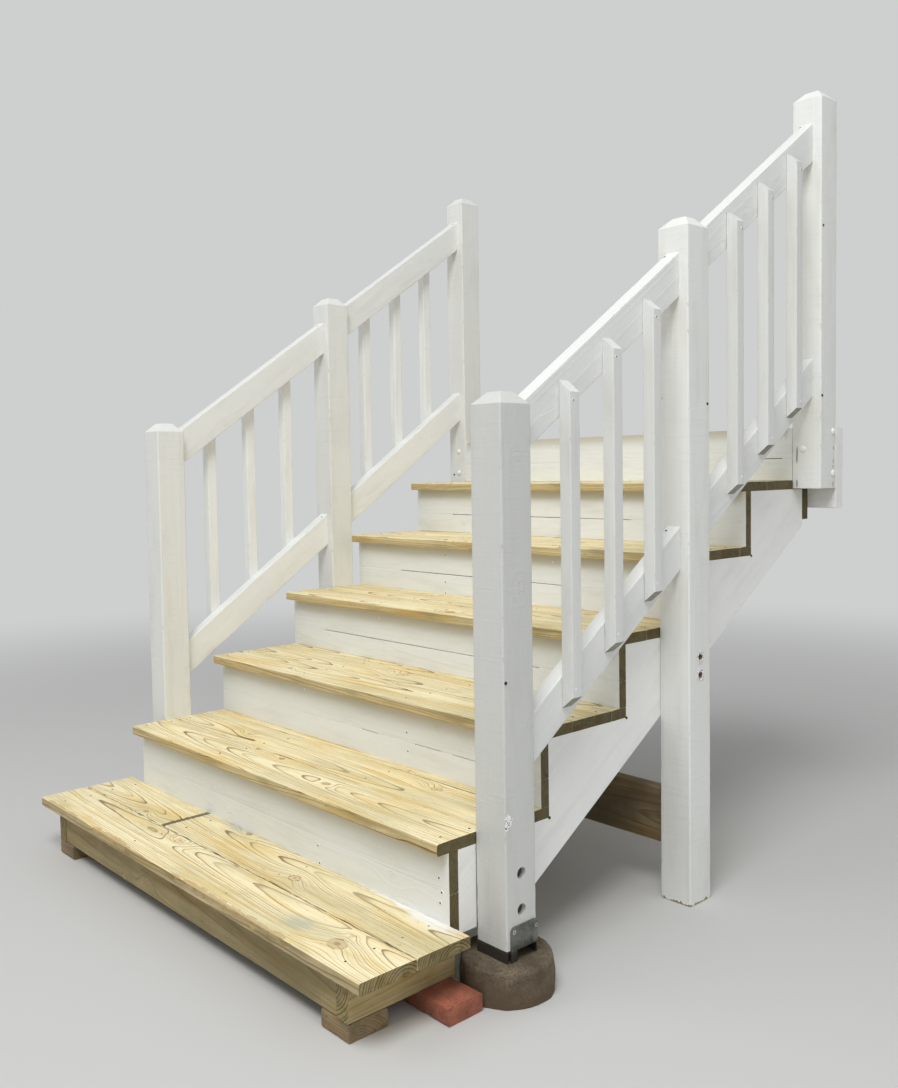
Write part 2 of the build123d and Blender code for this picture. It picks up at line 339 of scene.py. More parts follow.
@dataclass(frozen=True)
class PineFinish:
    """Bare pine: rings, knots, fibre, warm patches, specks and weather stain."""

    name: str
    light: Colour
    dark: Colour
    warm: Colour
    stain: Colour
    deep: Colour = ink(104, 76, 44)
    knot: Colour = ink(224, 196, 146)
    heart: Colour = ink(112, 78, 48)
    ring: float = 0.0050
    figure: float = 0.58
    lines: float = 0.85
    stained: float = 0.36
    specked: float = 0.65
    relief: float = 0.0006
    grime: float = 0.0

    def marks(self, nodes: Nodes, wood: Figure, colour: Wire) -> Wire:
        """Lay what has got on the wood over its own colour: specks, wane, blue stain, cut joints and paint.

        Args:
            nodes: the material.
            wood: the wood's figure.
            colour: the wood's colour.

        Returns:
            The colour with its marks.
        """
        torn = wood.pith.noise((26, 160, 160), 3, 0.6)
        loose = torn - 0.5
        wane = nodes.number("bark") + loose
        stain = nodes.number("stain") + loose * 0.7
        joint = nodes.number("joint") + loose * 0.8
        smear = nodes.number("smear") + loose * 1.1
        return colour.coated(
            (wood.pith.noise((30, 330, 330)).fade(0.67, 0.75), self.specked * 0.7, self.deep),
            (wood.pith.noise((170, 240, 240), 1).fade(0.745, 0.785), self.specked, ink(66, 52, 36)),
            (wane.fade(0.34, 0.60), 0.62, nodes.mix(torn, ink(132, 108, 66), ink(216, 192, 144))),
            (abs(wane - 0.44).fade(0.050, 0.008), 0.45, self.deep),
            (stain.fade(0.16, 0.80), 0.55, ink(172, 180, 168)),
            (joint.fade(0.265, 0.475), 0.82, ink(66, 62, 52)),
            (smear.fade(0.30, 0.66), 0.88, ink(240, 240, 236)),
        )

    def material(self) -> bpy.types.Material:
        """Return the finish as a material."""
        nodes = Nodes.of(self.name)
        wood = wood_figure(nodes, self.ring)
        base = nodes.mix(wood.tone, nodes.mix(0.28, self.light, self.stain), self.light)
        base = base.coated((wood.late, self.figure, self.dark))
        patch = wood.pith.noise((3, 26, 26), 3, 0.6).fade(0.44, 0.70)
        damp = wood.board.noise((3, 14, 14), 4, 0.6).fade(0.46, 0.68)
        colour = nodes.mix(patch * 0.8, base, self.warm, "MULTIPLY").coated(
            (wood.streak.fade(0.46, 0.72), 0.42, self.dark),
            (wood.line, self.lines, self.deep),
            (damp, self.stained, self.stain),
            (wood.knot, 0.50, self.knot),
            (wood.char, 0.55, self.heart),
            (wood.rim, 0.80, self.heart),
            (wood.heart, 0.45, self.heart),
        )
        colour = self.marks(nodes, wood, colour).scaled(wood.fibre * 0.44 + wood.tone * 0.14 + 0.72)
        dirt = nodes.place().noise((7, 7, 7), 4, 0.6).fade(0.40, 0.70)
        colour = colour.coated((dirt, self.grime, ink(88, 76, 56)))
        roughness = wood.fibre * 0.2 + 0.55
        nodes.surface({"Base Color": colour, "Roughness": roughness, "Specular IOR Level": 0.28})
        nodes.bump(wood.late * 0.6 + wood.fibre * 0.6 - wood.rim * 0.6 - wood.line * 0.5, self.relief)
        return nodes.owner


@dataclass(frozen=True)
class PaintFinish:
    """Brushed paint over sawn pine, thin in places, with the grain and the saw marks under it."""

    name: str
    coat: Colour
    thin: Colour = ink(208, 207, 198)
    bleed: Colour = ink(222, 218, 200)
    bare: Colour = ink(150, 136, 104)
    depth: float = 0.10
    ring: float = 0.008
    thinness: float = 0.55
    saw: float = 0.3
    chips: float = 0.25
    soil: float = 0.0
    ragged_foot: float = 0.0
    # how strongly the top of an upper riser board is darkened and yellowed: painted shade under the tread's
    # nosing, with painted light thrown back from the tread
    nosing_shade: float = 0.0

    def scars(self, nodes: Nodes, wood: Figure, crust: Wire) -> Wire:
        """Return where the paint is hurt: round each scar of the board's outer face.

        Args:
            nodes: the material.
            wood: the wood's figure.
            crust: a small noise that makes the rims uneven.

        Returns:
            One inside a scar and nought outside.
        """
        hurt = 0.0
        along, across, above = wood.board.parts()
        for name in SCAR_PLACES:
            scar_x, scar_y, radius = nodes.vector(name).parts()
            reach = nodes.length((along - scar_x) * 0.75, across - scar_y, above - POST_HALF) / radius
            hurt = (reach + (crust - 0.5) * 1.2).fade(1.05, 0.80).most(hurt)
        return hurt

    def material(self) -> bpy.types.Material:
        """Return the finish as a material."""
        nodes = Nodes.of(self.name)
        wood = wood_figure(nodes, self.ring)
        pith, place = wood.pith, nodes.place()
        brush = pith.noise((3.5, 150, 150), 3, 0.6)
        broad = pith.noise((4, 22, 22), 3, 0.55).fade(0.46, 0.78)
        saw = pith.noise((170, 9, 9), 2, 0.55)
        crust = pith.noise((150, 190, 190), 3, 0.6)
        hurt = self.scars(nodes, wood, crust)
        pits = pith.noise((230, 260, 260), 1).fade(0.56, 0.61)
        chip = place.noise((60, 60, 45), 3, 0.6).fade(0.60, 0.66)
        height = place.parts()[2]
        splash = height - place.noise((16, 16, 10), 4, 0.6) * 0.20
        torn = height - place.noise((90, 90, 60), 3, 0.6) * 0.03
        foot = self.ragged_foot
        colour = nodes.mix(broad * (brush * self.thinness), self.coat, self.thin)
        # the board's tone darkens the paint; on posts, rails and balusters the tones are set part by part as
        # painted shade
        colour = colour.scaled(wood.tone * self.depth + (1 - self.depth)).coated(
            (wood.late, 0.06, self.thin),
            (saw.fade(0.50, 0.68) * pith.noise((9, 14, 14)).fade(0.42, 0.62), self.saw * 0.25, self.thin),
            (wood.knot, 0.12, self.bleed),
            (wood.rim, 0.12, self.bleed),
            (pith.noise((70, 190, 190), 3, 0.6).fade(0.69, 0.75), 0.24, self.bare),
            (hurt, 0.95, ink(252, 252, 252)),
            (pits * hurt, 1.0, ink(84, 78, 74)),
            (chip * wood.edge, self.chips, self.bare),
            # painted shade under the nosing, yellowed as painted light thrown back from the pine tread, along
            # the riser board's top where the joint mark is set
            (nodes.number("joint").fade(0.05, 0.50), self.nosing_shade, ink(172, 160, 128)),
            (splash.fade(0.05, -0.09), self.soil, ink(120, 104, 78)),
            (torn.fade(foot - 0.0145, foot - 0.0165), float(foot > 0), self.bare),
        )
        nodes.surface({"Base Color": colour, "Roughness": brush * 0.25 + 0.36, "Specular IOR Level": 0.35})
        relief = wood.late * 0.45 + brush * 0.35 + saw * self.saw - wood.rim * 0.7
        nodes.bump(relief + crust * (hurt * 2.0), 0.0009)
        return nodes.owner


@dataclass(frozen=True)
class SteelFinish:
    """Hot-dip zinc gone dull: cloudy grey with dirt in the low places."""

    name: str
    zinc: Colour
    cloud: Colour
    dirt: Colour
    dirty: float
    muddy: float = 0.0
    metal: float = 0.45

    def material(self) -> bpy.types.Material:
        """Return the finish as a material."""
        nodes = Nodes.of(self.name)
        place = nodes.place()
        cloud = place.noise((38, 38, 38), 4, 0.6)
        grime = place.noise((24, 24, 60), 4, 0.65).fade(0.46, 0.66)
        mud = (place.parts()[2] - cloud * 0.03).fade(0.100, 0.078)
        colour = nodes.mix(cloud.fade(0.38, 0.66), self.zinc, self.cloud).coated(
            (nodes.wire("TexVoronoi", {"Scale": 160.0, "Vector": place}, "Distance"), 0.25, self.cloud),
            (grime, self.dirty, self.dirt),
            (mud, self.muddy, self.dirt),
        )
        nodes.surface({"Base Color": colour, "Metallic": self.metal, "Roughness": cloud * 0.3 + 0.38})
        nodes.bump(cloud + grime * 0.5, 0.0003)
        return nodes.owner


@dataclass(frozen=True)
class StoneFinish:
    """Cast concrete or fired clay: grainy, pitted and splashed with soil."""

    name: str
    light: Colour
    dark: Colour
    soil: Colour = ink(92, 76, 56)
    grain: float = 220.0
    pitted: float = 0.6
    soiled: float = 0.5

    def material(self) -> bpy.types.Material:
        """Return the finish as a material."""
        nodes = Nodes.of(self.name)
        place = nodes.place()
        clouds = place.noise((14, 14, 14), 5, 0.6)
        sand = place.noise((self.grain, self.grain, self.grain), 3, 0.7)
        pits = place.noise((70, 70, 70), 3, 0.55).fade(0.64, 0.70)
        splash = (place.parts()[2] - clouds * 0.16).fade(0.02, -0.09)
        colour = nodes.mix(clouds.fade(0.35, 0.68), self.light, self.dark).coated(
            (sand.fade(0.40, 0.70), 1.0, self.dark),
            (pits, self.pitted, self.soil),
            (splash, self.soiled, self.soil),
        )
        nodes.surface({"Base Color": colour, "Roughness": 0.9})
        nodes.bump(clouds * 1.2 + sand * 0.5 - pits * 0.8, 0.0016)
        return nodes.owner


class Finish(Enum):
    """The finishes of the stair."""

    PINE = PineFinish(
        "pine_boards", ink(253, 241, 200), ink(200, 170, 114), ink(246, 228, 184), ink(188, 180, 140),
        deep=ink(104, 76, 38),
    )
    # Darker, more stained copies of the pine for the boards' vertical front faces: painted shade from light
    # falling from above, with some weathering
    PINE_SHADED_SIDE = PineFinish(
        "pine_board_sides_painted_shade", ink(216, 198, 150), ink(150, 122, 76), ink(238, 220, 180), ink(140, 128, 90),
        ring=0.0052, figure=0.7, lines=0.8, stained=0.6, relief=0.0009,
    )
    PINE_SHADED_LOW_SIDE = PineFinish(
        "pine_low_side_painted_shade", ink(196, 180, 138), ink(134, 110, 70), ink(232, 216, 180), ink(116, 106, 74),
        ring=0.0052, figure=0.7, lines=0.8, stained=0.7, relief=0.0010,
    )
    PINE_CUT = PineFinish(
        "pine_sawn_ends", ink(160, 144, 100), ink(52, 42, 24), ink(214, 200, 160), ink(104, 96, 66),
        ring=0.0070, figure=1.0, lines=1.0, stained=0.35, deep=ink(44, 35, 20),
    )
    PINE_EDGE = PineFinish(
        "pine_weathered_ends", ink(112, 103, 72), ink(56, 47, 29), ink(214, 204, 172), ink(74, 67, 46),
        ring=0.0060, figure=0.9, lines=1.0, stained=0.5,
    )
    # A darkened copy of the pine with some grime: the darkening is painted shade for the box frame under the
    # top's overhang and the inner stringers under the flight
    LUMBER = PineFinish(
        "pine_frame_lumber_painted_shade", ink(182, 165, 121), ink(142, 118, 78), ink(232, 214, 176), ink(128, 118, 86),
        ring=0.0075, figure=0.5, lines=0.3, stained=0.45, grime=0.22,
    )
    OLD_LUMBER = PineFinish(
        "pine_old_lumber", ink(160, 140, 106), ink(112, 92, 64), ink(214, 194, 158), ink(110, 102, 82),
        ring=0.006, figure=0.6, stained=0.6, grime=0.5,
    )
    # dark raw wood for the bottoms of the bores, the insides of the cracks and the strips in the post gaps:
    # partly bare wood and bolt ends, partly painted shade in these recesses
    RECESS_SHADE = PineFinish(
        "bore_crack_and_gap_painted_shade", ink(92, 84, 70), ink(58, 50, 38), ink(200, 186, 160), ink(64, 58, 46),
        ring=0.004, figure=0.6, stained=0.5, grime=0.4,
    )
    BARE_FOOT = PineFinish(
        "grey_sawn_feet", ink(176, 172, 160), ink(130, 124, 110), ink(230, 226, 214), ink(140, 136, 124),
        figure=0.5, lines=0.4, stained=0.4,
    )
    PAINT = PaintFinish("paint_on_rails", ink(241, 242, 239), depth=0.20)
    # The post white is darker than the rail white and takes the tones more deeply: painted shade on the posts
    PAINT_POST = PaintFinish(
        "paint_on_posts_painted_shade", ink(235, 236, 232), saw=0.6, chips=0.3, ragged_foot=0.004, depth=0.24
    )
    # The riser white is lighter than the post white, as painted light on the recessed risers, and it darkens
    # each riser's top as painted shade under the nosing
    PAINT_RISER = PaintFinish(
        "paint_on_risers_with_painted_light_and_shade", ink(240, 243, 242), thin=ink(214, 214, 206), thinness=0.7, saw=0.15, soil=0.06,
        nosing_shade=0.64,
    )
    PAINT_STRINGER = PaintFinish("paint_on_stringers", ink(250, 250, 247), thinness=0.5, saw=0.2, soil=0.25)
    # a lighter white than the posts': painted highlight that makes the bolt and screw heads stand out
    PAINT_HEAD = PaintFinish("paint_on_fixings_painted_highlight", ink(250, 250, 248), saw=0.0, chips=0.0)
    ZINC = SteelFinish("dull_zinc", ink(126, 128, 121), ink(98, 100, 94), ink(58, 54, 46), 0.45, 0.9)
    NAIL = SteelFinish("nail_heads", ink(206, 206, 198), ink(168, 168, 160), ink(110, 102, 88), 0.3)
    DARK_SCREW = SteelFinish("dark_screw", ink(52, 48, 43), ink(36, 33, 30), ink(46, 40, 33), 0.5, metal=0.0)
    CONCRETE = StoneFinish("dirty_concrete", ink(122, 110, 92), ink(80, 70, 56), soiled=0.8)
    BRICK = StoneFinish("red_brick", ink(190, 112, 88), ink(150, 84, 66), grain=160.0, soiled=0.4)

    @property
    def material(self) -> bpy.types.Material:
        """Return the finish's material, made the first time it is asked for."""
        return bpy.data.materials.get(self.value.name) or self.value.material()


# worked wood


@dataclass(frozen=True)
class Knot:
    """A knot or a scar, by its place from the middle of its board and its radius, in metres."""

    along: float
    across: float
    radius: float


@dataclass(frozen=True)
class Bore:
    """A round hole sunk in a board's face, by its place from the middle of the board."""

    along: float
    across: float
    radius: float
    depth: float
    torn: float = 0.0


@dataclass(frozen=True)
class Split:
    """A drying crack along the grain, in a board's face or in its upper side."""

    start: float
    end: float
    across: float
    on_side: bool = False
    width: float = 0.0030
    depth: float = 0.008


class Mark(Enum):
    """What can lie on a board in one place."""

    STAIN = "stain"
    SMEAR = "smear"


@dataclass(frozen=True)
class Patch:
    """A soft-edged mark on a board, by its place from the middle and its reach each way."""

    mark: Mark
    along: float
    across: float
    length: float
    width: float


@dataclass(frozen=True)
class Grain:
    """What one board's wood is like: where its pith runs, how light it is and where its knots are."""

    seed: int
    pith: Union[Pair, None] = None
    lean: Union[float, None] = None
    tone: Union[float, None] = None
    knots: Union[tuple[Knot, ...], None] = None
    scars: tuple[Knot, ...] = ()

    def write(self, bm: Shape, length: float, width: float) -> None:
        """Write the wood's attributes on a mesh that is in the board's own axes.

        Args:
            bm: the mesh, with x along the grain and z out of the face.
            length: the board's length.
            width: the board's width.
        """
        chance = random.Random(self.seed)
        pith_y, pith_z = self.pith or (chance.uniform(-0.035, 0.035), -chance.uniform(0.045, 0.11))
        lean = chance.uniform(-0.03, 0.03) if self.lean is None else self.lean
        tone = chance.random() if self.tone is None else self.tone
        start = chance.uniform(-40, 40)
        knots = self.knots
        if knots is None:
            knots = [
                Knot(
                    chance.uniform(-0.46, 0.46) * length,
                    chance.uniform(-0.42, 0.42) * width,
                    chance.uniform(0.05, 0.11) * min(width, 0.14),
                )
                for _ in range(chance.randint(1, 3))
            ]
        board, pith, *places = (
            bm.verts.layers.float_vector.new(name) for name in ("board", "pith", *KNOT_PLACES, *SCAR_PLACES)
        )
        tone_layer = bm.verts.layers.float.new("tone")
        marks = []
        for found, names in ((knots, KNOT_PLACES), (self.scars, SCAR_PLACES)):
            marks += [Vector((k.along, k.across, k.radius)) for k in found[: len(names)]]
            marks += [NO_KNOT] * (len(names) - len(found))
        for v in bm.verts:
            x, y, z = v.co
            v[board] = (x, y, z)
            v[pith] = (x + start, y - pith_y, z - pith_z - lean * x)
            v[tone_layer] = tone
            for layer, mark in zip(places, marks):
                v[layer] = mark


CLEAR = Grain(0, tone=0.5, knots=())


def is_along(edge: bmesh.types.BMEdge, axis: int) -> bool:
    """Say whether an edge runs mainly along one axis, 0, 1 or 2."""
    step = edge.verts[1].co - edge.verts[0].co
    return abs(step[axis]) > 0.6 * step.length


def ease(
    bm: Shape, geom: list, radius: float, segments: int, affect: str = "EDGES", clamp: bool = False
) -> None:
    """Round some edges or corners."""
    bmesh.ops.bevel(
        bm, geom=geom, offset=radius, offset_type="OFFSET", segments=segments, profile=0.5, affect=affect,
        material=-1, clamp_overlap=clamp,
    )


def divide(bm: Shape, edges: list[bmesh.types.BMEdge], cuts: int) -> None:
    """Cut some edges into equal lengths, and the faces between them with them."""
    bmesh.ops.subdivide_edges(bm, edges=edges, cuts=cuts, use_grid_fill=True)


def drawn_out(bm: Shape, faces: list[bmesh.types.BMFace], way: Sequence[float], keep: bool) -> list:
    """Extrude some faces.

    Args:
        bm: the mesh.
        faces: the faces.
        way: how far they move.
        keep: whether the faces also stay where they are, as the far side of a solid.

    Returns:
        The corners that moved.
    """
    made = bmesh.ops.extrude_face_region(bm, geom=faces, use_keep_orig=keep)
    verts = [g for g in made["geom"] if isinstance(g, bmesh.types.BMVert)]
    bmesh.ops.translate(bm, vec=way, verts=verts)
    return verts


def prism(outline: Iterable[Pair], start: float, length: float) -> Shape:
    """Draw an outline out to a solid.

    Args:
        outline: its corners, as places along and up the stair.
        start: where it starts across the stair.
        length: how far it is drawn out.

    Returns:
        The solid.
    """
    bm = bmesh.new()
    face = bm.faces.new([bm.verts.new((start, y, z)) for y, z in outline])
    drawn_out(bm, [face], (length, 0, 0), True)
    bmesh.ops.recalc_face_normals(bm, faces=bm.faces)
    return bm


def drill(cutter: Shape, bore: Bore, face: float) -> None:
    """Add the shape of a bit to a cutter, its walls on the third finish and its tip on the fourth.

    Args:
        cutter: the cutter.
        bore: the hole.
        face: the height of the board's face.
    """
    middle = Vector((bore.along, bore.across, face))
    made = bmesh.ops.create_cone(
        cutter, cap_ends=True, segments=32, radius1=bore.radius * 0.97, radius2=bore.radius,
        depth=2 * bore.depth, matrix=Matrix.Translation(middle),
    )
    for v in made["verts"]:
        off, step = 1 + bore.torn * noise.noise(v.co * 180), v.co - middle
        v.co = middle + Vector((step.x * off, step.y * off, step.z))
        for f in v.link_faces:
            f.material_index = 3 if len(f.verts) > 4 else 2


def merge(whole: Shape, part: Shape) -> None:
    """Add a part to a whole.

    Args:
        whole: what it is added to.
        part: the part. It is freed.
    """
    mesh = bpy.data.meshes.new("part")
    part.to_mesh(mesh)
    part.free()
    whole.from_mesh(mesh)
    bpy.data.meshes.remove(mesh)


def new_object(name: str, data: bpy.types.ID) -> bpy.types.Object:
    """Add an object to the scene.

    Args:
        name: its name.
        data: its mesh, lamp or camera.

    Returns:
        The object.
    """
    thing = bpy.data.objects.new(name, data)
    bpy.context.scene.collection.objects.link(thing)
    return thing


def saw_split(cutter: Shape, split: Split, half: Pair) -> None:
    """Add the shape of a crack to a cutter, wandering along the grain and closing at its ends.

    Args:
        cutter: the cutter.
        split: the crack.
        half: half the board's width and half its thickness.
    """
    length = split.end - split.start
    blade = bmesh.new()
    bmesh.ops.create_cube(blade, size=1.0, matrix=Matrix.Diagonal((length, split.width, 2 * split.depth, 1)))
    divide(blade, [e for e in blade.edges if is_along(e, 0)], 14)
    for v in blade.verts:
        closing = max(0.12, 1 - (2 * abs(v.co.x) / length) ** 4)
        wander = 0.0014 * noise.noise(Vector((v.co.x * 22 + split.start * 50, 4.1, 0)))
        v.co.y = v.co.y * closing + wander
        v.co.z *= closing
    # the crack's faces take the fourth finish, dark as painted shade inside the crack
    for f in blade.faces:
        f.material_index = 3
    turn = Matrix.Rotation(math.radians(-90), 4, "X") if split.on_side else IN_PLACE
    middle = (split.start + split.end) / 2
    place = (middle, half[0], split.across) if split.on_side else (middle, split.across, half[1])
    blade.transform(Matrix.Translation(place) @ turn)
    merge(cutter, blade)


def worked(bm: Shape, cutter: Shape) -> Shape:
    """Take a cutter's shape out of a board.

    Args:
        bm: the board in its own axes. It is freed.
        cutter: the shape that goes. It is freed.

    Returns:
        The board with its holes and cracks.
    """
    objects = []
    for name, shape in (("blank", bm), ("cutter", cutter)):
        mesh = bpy.data.meshes.new(name)
        shape.to_mesh(mesh)
        shape.free()
        for _ in range(4):
            mesh.materials.append(None)
        objects.append(new_object(name, mesh))
    sinking = objects[0].modifiers.new("sinking", "BOOLEAN")
    sinking.operation, sinking.object, sinking.solver = "DIFFERENCE", objects[1], "EXACT"
    bpy.context.view_layer.update()
    result = bmesh.new()
    result.from_object(objects[0], bpy.context.evaluated_depsgraph_get())
    for mesh in [piece.data for piece in objects]:
        bpy.data.meshes.remove(mesh)
    return result


@dataclass
class Board:
    """One length of sawn wood in its own axes: x with the grain, y across the face and z out of the face."""

    length: float
    width: float
    thickness: float
    grain: Grain
    arris: float = 0.002
    nose: float = 0.0
    pitch: float = 0.02
    strips: tuple[int, int] = (4, 0)
    start_cut: Pair = (0.0, 0.0)
    end_cut: Pair = (0.0, 0.0)
    warp: float = 0.0007
    wear: float = 0.0005
    cap: float = 0.0
    ends: tuple[int, int] = (1, 1)
    # finish index of the board's front face; the treads and the box front board give it a darker pine there,
    # as painted shade
    front: int = 0
    bores: tuple[Bore, ...] = ()
    splits: tuple[Split, ...] = ()
    patches: tuple[Patch, ...] = ()
    wane: tuple[Pair, ...] = ()
    dark_ends: Pair = (0.0, 0.0)
    # darkening along the sides: dark joints on the box boards, painted shade under the nosing on the risers
    dark_sides: Pair = (0.0, 0.0)
    cut_end: float = 0.004
    cap_ease: float = 0.004
    bow_waves: float = 1.7
    wear_waves: tuple[float, float] = (55, 30)
    nick_waves: float = 210
    bark_waves: tuple[float, float] = (19, 30)
    bark_loss: Pair = (0.0034, 0.0030)

    def blank(self) -> Shape:
        """Saw the board to size, ease its long edges and divide it for its warp.

        Returns:
            The board, its two ends on the second finish.
        """
        bm = bmesh.new()
        bmesh.ops.create_cube(bm, size=1.0)
        bmesh.ops.scale(bm, vec=(self.length - self.cap, self.width, self.thickness), verts=bm.verts)
        bmesh.ops.translate(bm, vec=(-self.cap / 2, 0, 0), verts=bm.verts)
        bm.normal_update()
        for f in bm.faces:
            if abs(f.normal.x) > SQUARE_ON:
                f.material_index = self.ends[f.normal.x > 0]
            elif f.normal.y < -SQUARE_ON:
                f.material_index = self.front
        for v in bm.verts:
            cut = self.end_cut if v.co.x > 0 else self.start_cut
            v.co.x += cut[0] * v.co.y + cut[1] * v.co.z
        for axis, cuts in zip((1, 2), self.strips):
            if cuts:
                divide(bm, [e for e in bm.edges if is_along(e, axis)], cuts)
        half_y, half_z = self.width / 2 - HAIR, self.thickness / 2 - HAIR
        corners = [
            e
            for e in bm.edges
            if is_along(e, 0) and all(abs(v.co.y) > half_y and abs(v.co.z) > half_z for v in e.verts)
        ]
        nosed = [e for e in corners if self.nose and e.verts[0].co.y < 0]
        plain = [e for e in corners if e not in nosed]
        if nosed:
            ease(bm, nosed, self.nose, 4, clamp=True)
        ease(bm, plain, self.arris, 3, clamp=True)
        if self.cap:
            self.shape_cap(bm)
        long_edges = [e for e in bm.edges if is_along(e, 0) and e.calc_length() > 0.3 * self.length]
        divide(bm, long_edges, max(1, round(self.length / self.pitch)))
        return bm

    def shape_cap(self, bm: Shape) -> None:
        """Give a post its chamfered top.

        Args:
            bm: the post.
        """
        end = self.length / 2 - self.cap - HAIR
        top = [f for f in bm.faces if all(v.co.x > end for v in f.verts)]
        inner = 1 - 2 * self.cap / self.width
        bmesh.ops.scale(bm, vec=(1, inner, inner), verts=drawn_out(bm, top, (self.cap, 0, 0), False))
        bm.normal_update()
        rims = [
            e
            for e in bm.edges
            if len(e.link_faces) == 2
            and e.calc_face_angle(0) > 0.5
            and all(v.co.x > end for v in e.verts)
            and abs((e.verts[0].co - e.verts[1].co).x) < HAIR
        ]
        bmesh.ops.delete(bm, geom=top, context="FACES")
        ease(bm, rims, self.cap_ease, 3, clamp=True)

    def carve(self) -> Shape:
        """Make the board and give it its holes, grain, warp and wear.

        Returns:
            The finished board in its own axes.
        """
        bm = self.blank()
        half = (self.width / 2, self.thickness / 2)
        if self.bores or self.splits:
            cutter = bmesh.new()
            for bore in self.bores:
                drill(cutter, bore, half[1])
            for split in self.splits:
                saw_split(cutter, split, half)
            bm = worked(bm, cutter)
        self.grain.write(bm, self.length, self.width)
        edge = bm.verts.layers.float.new("edge")
        reach = max(self.arris, self.nose) + HAIR
        seed = self.grain.seed * 3.7
        along, around = self.wear_waves
        for v in bm.verts:
            x, y, z = v.co
            gaps = (half[0] - abs(y), half[1] - abs(z))
            v[edge] = float(all(HAIR < gap < reach for gap in gaps))
            slow = Vector((x * self.bow_waves, seed, 0.0))
            v.co.y += self.warp * noise.noise(slow)
            v.co.z += self.warp * noise.noise(slow + Vector((0, 9.1, 0))) * 1.4
            v.co.z -= self.warp * 0.6 * (2 * y / self.width) ** 2
            if v[edge] or (self.wear and all(gap < reach for gap in gaps)):
                bite = max(0.0, noise.noise(Vector((x * along, seed + y * around, z * around))))
                nick = abs(noise.noise(Vector((x * self.nick_waves, seed, y))))
                bite = self.wear * (bite + 0.35 * nick)
                v.co.y -= math.copysign(bite, y)
                v.co.z -= math.copysign(bite, z)
        self.bark(bm)
        self.soil(bm)
        return bm

    def soil(self, bm: Shape) -> None:
        """Mark the patches on the board, its dark cut joints and, on a riser board, the painted shade under
        the nosing along its top edge.

        Args:
            bm: the board.
        """
        joint = bm.verts.layers.float.new("joint")
        layers = {mark: bm.verts.layers.float.new(mark.value) for mark in Mark}
        for v in bm.verts:
            x, y, z = v.co
            for way, end_reach, side_reach in zip((-1, 1), self.dark_ends, self.dark_sides):
                if end_reach:
                    v[joint] = max(v[joint], 1 - (self.length / 2 - way * x) / end_reach)
                if side_reach and abs(x) < self.length / 2 - self.cut_end:
                    v[joint] = max(v[joint], 0.5 - 0.5 * (self.width / 2 - way * y) / side_reach)
            for patch in self.patches if z >= 0 else ():
                off = math.hypot((x - patch.along) / patch.length, (y - patch.across) / patch.width)
                v[layers[patch.mark]] = max(v[layers[patch.mark]], 1 - min(1.0, off))

    def bark(self, bm: Shape) -> None:
        """Mark where bark shows, and take the upper front edge off there.

        Args:
            bm: the board.
        """
        layer = bm.verts.layers.float.new("bark")
        front = -self.width / 2 + self.nose * 1.4
        along, up = self.bark_waves
        for v in bm.verts:
            x, y, z = v.co
            for start, finish in self.wane:
                share = 1 - abs(x - (start + finish) / 2) / ((finish - start) / 2)
                if share <= 0 or y > front or z < -self.thickness * 0.1:
                    continue
                ragged = abs(noise.noise(Vector((x * along, 3.3, z * up))))
                depth = min(1.0, share * 2.2) * (0.45 + 1.2 * ragged)
                v[layer] = min(1.0, depth)
                v.co.y += depth * self.bark_loss[0]
                v.co.z -= depth * self.bark_loss[1] if z > 0 else 0.0


def lay(origin: Vector, along: Vector, across: Vector) -> Matrix:
    """Return the matrix that lays a board in the stair.

    Args:
        origin: where the board's middle goes.
        along: the way its grain runs.
        across: the way its width runs.

    Returns:
        The matrix from the board's axes to the stair's.
    """
    x, y = along.normalized(), across.normalized()
    return Matrix((*zip(x, y, x.cross(y), origin), (0, 0, 0, 1)))


def ends_of(low: Vector, high: Vector, axis: int, width: float) -> tuple[tuple[Vector, Vector], ...]:
    """Return the boxes at the two ends of a box.

    Args:
        low: the box's lowest corner.
        high: its highest corner.
        axis: the axis that the two ends lie on.
        width: how wide each of them is.

    Returns:
        The lowest and the highest corner of each.
    """
    near, far = high.copy(), low.copy()
    near[axis], far[axis] = low[axis] + width, high[axis] - width
    return (low, near), (far, high)


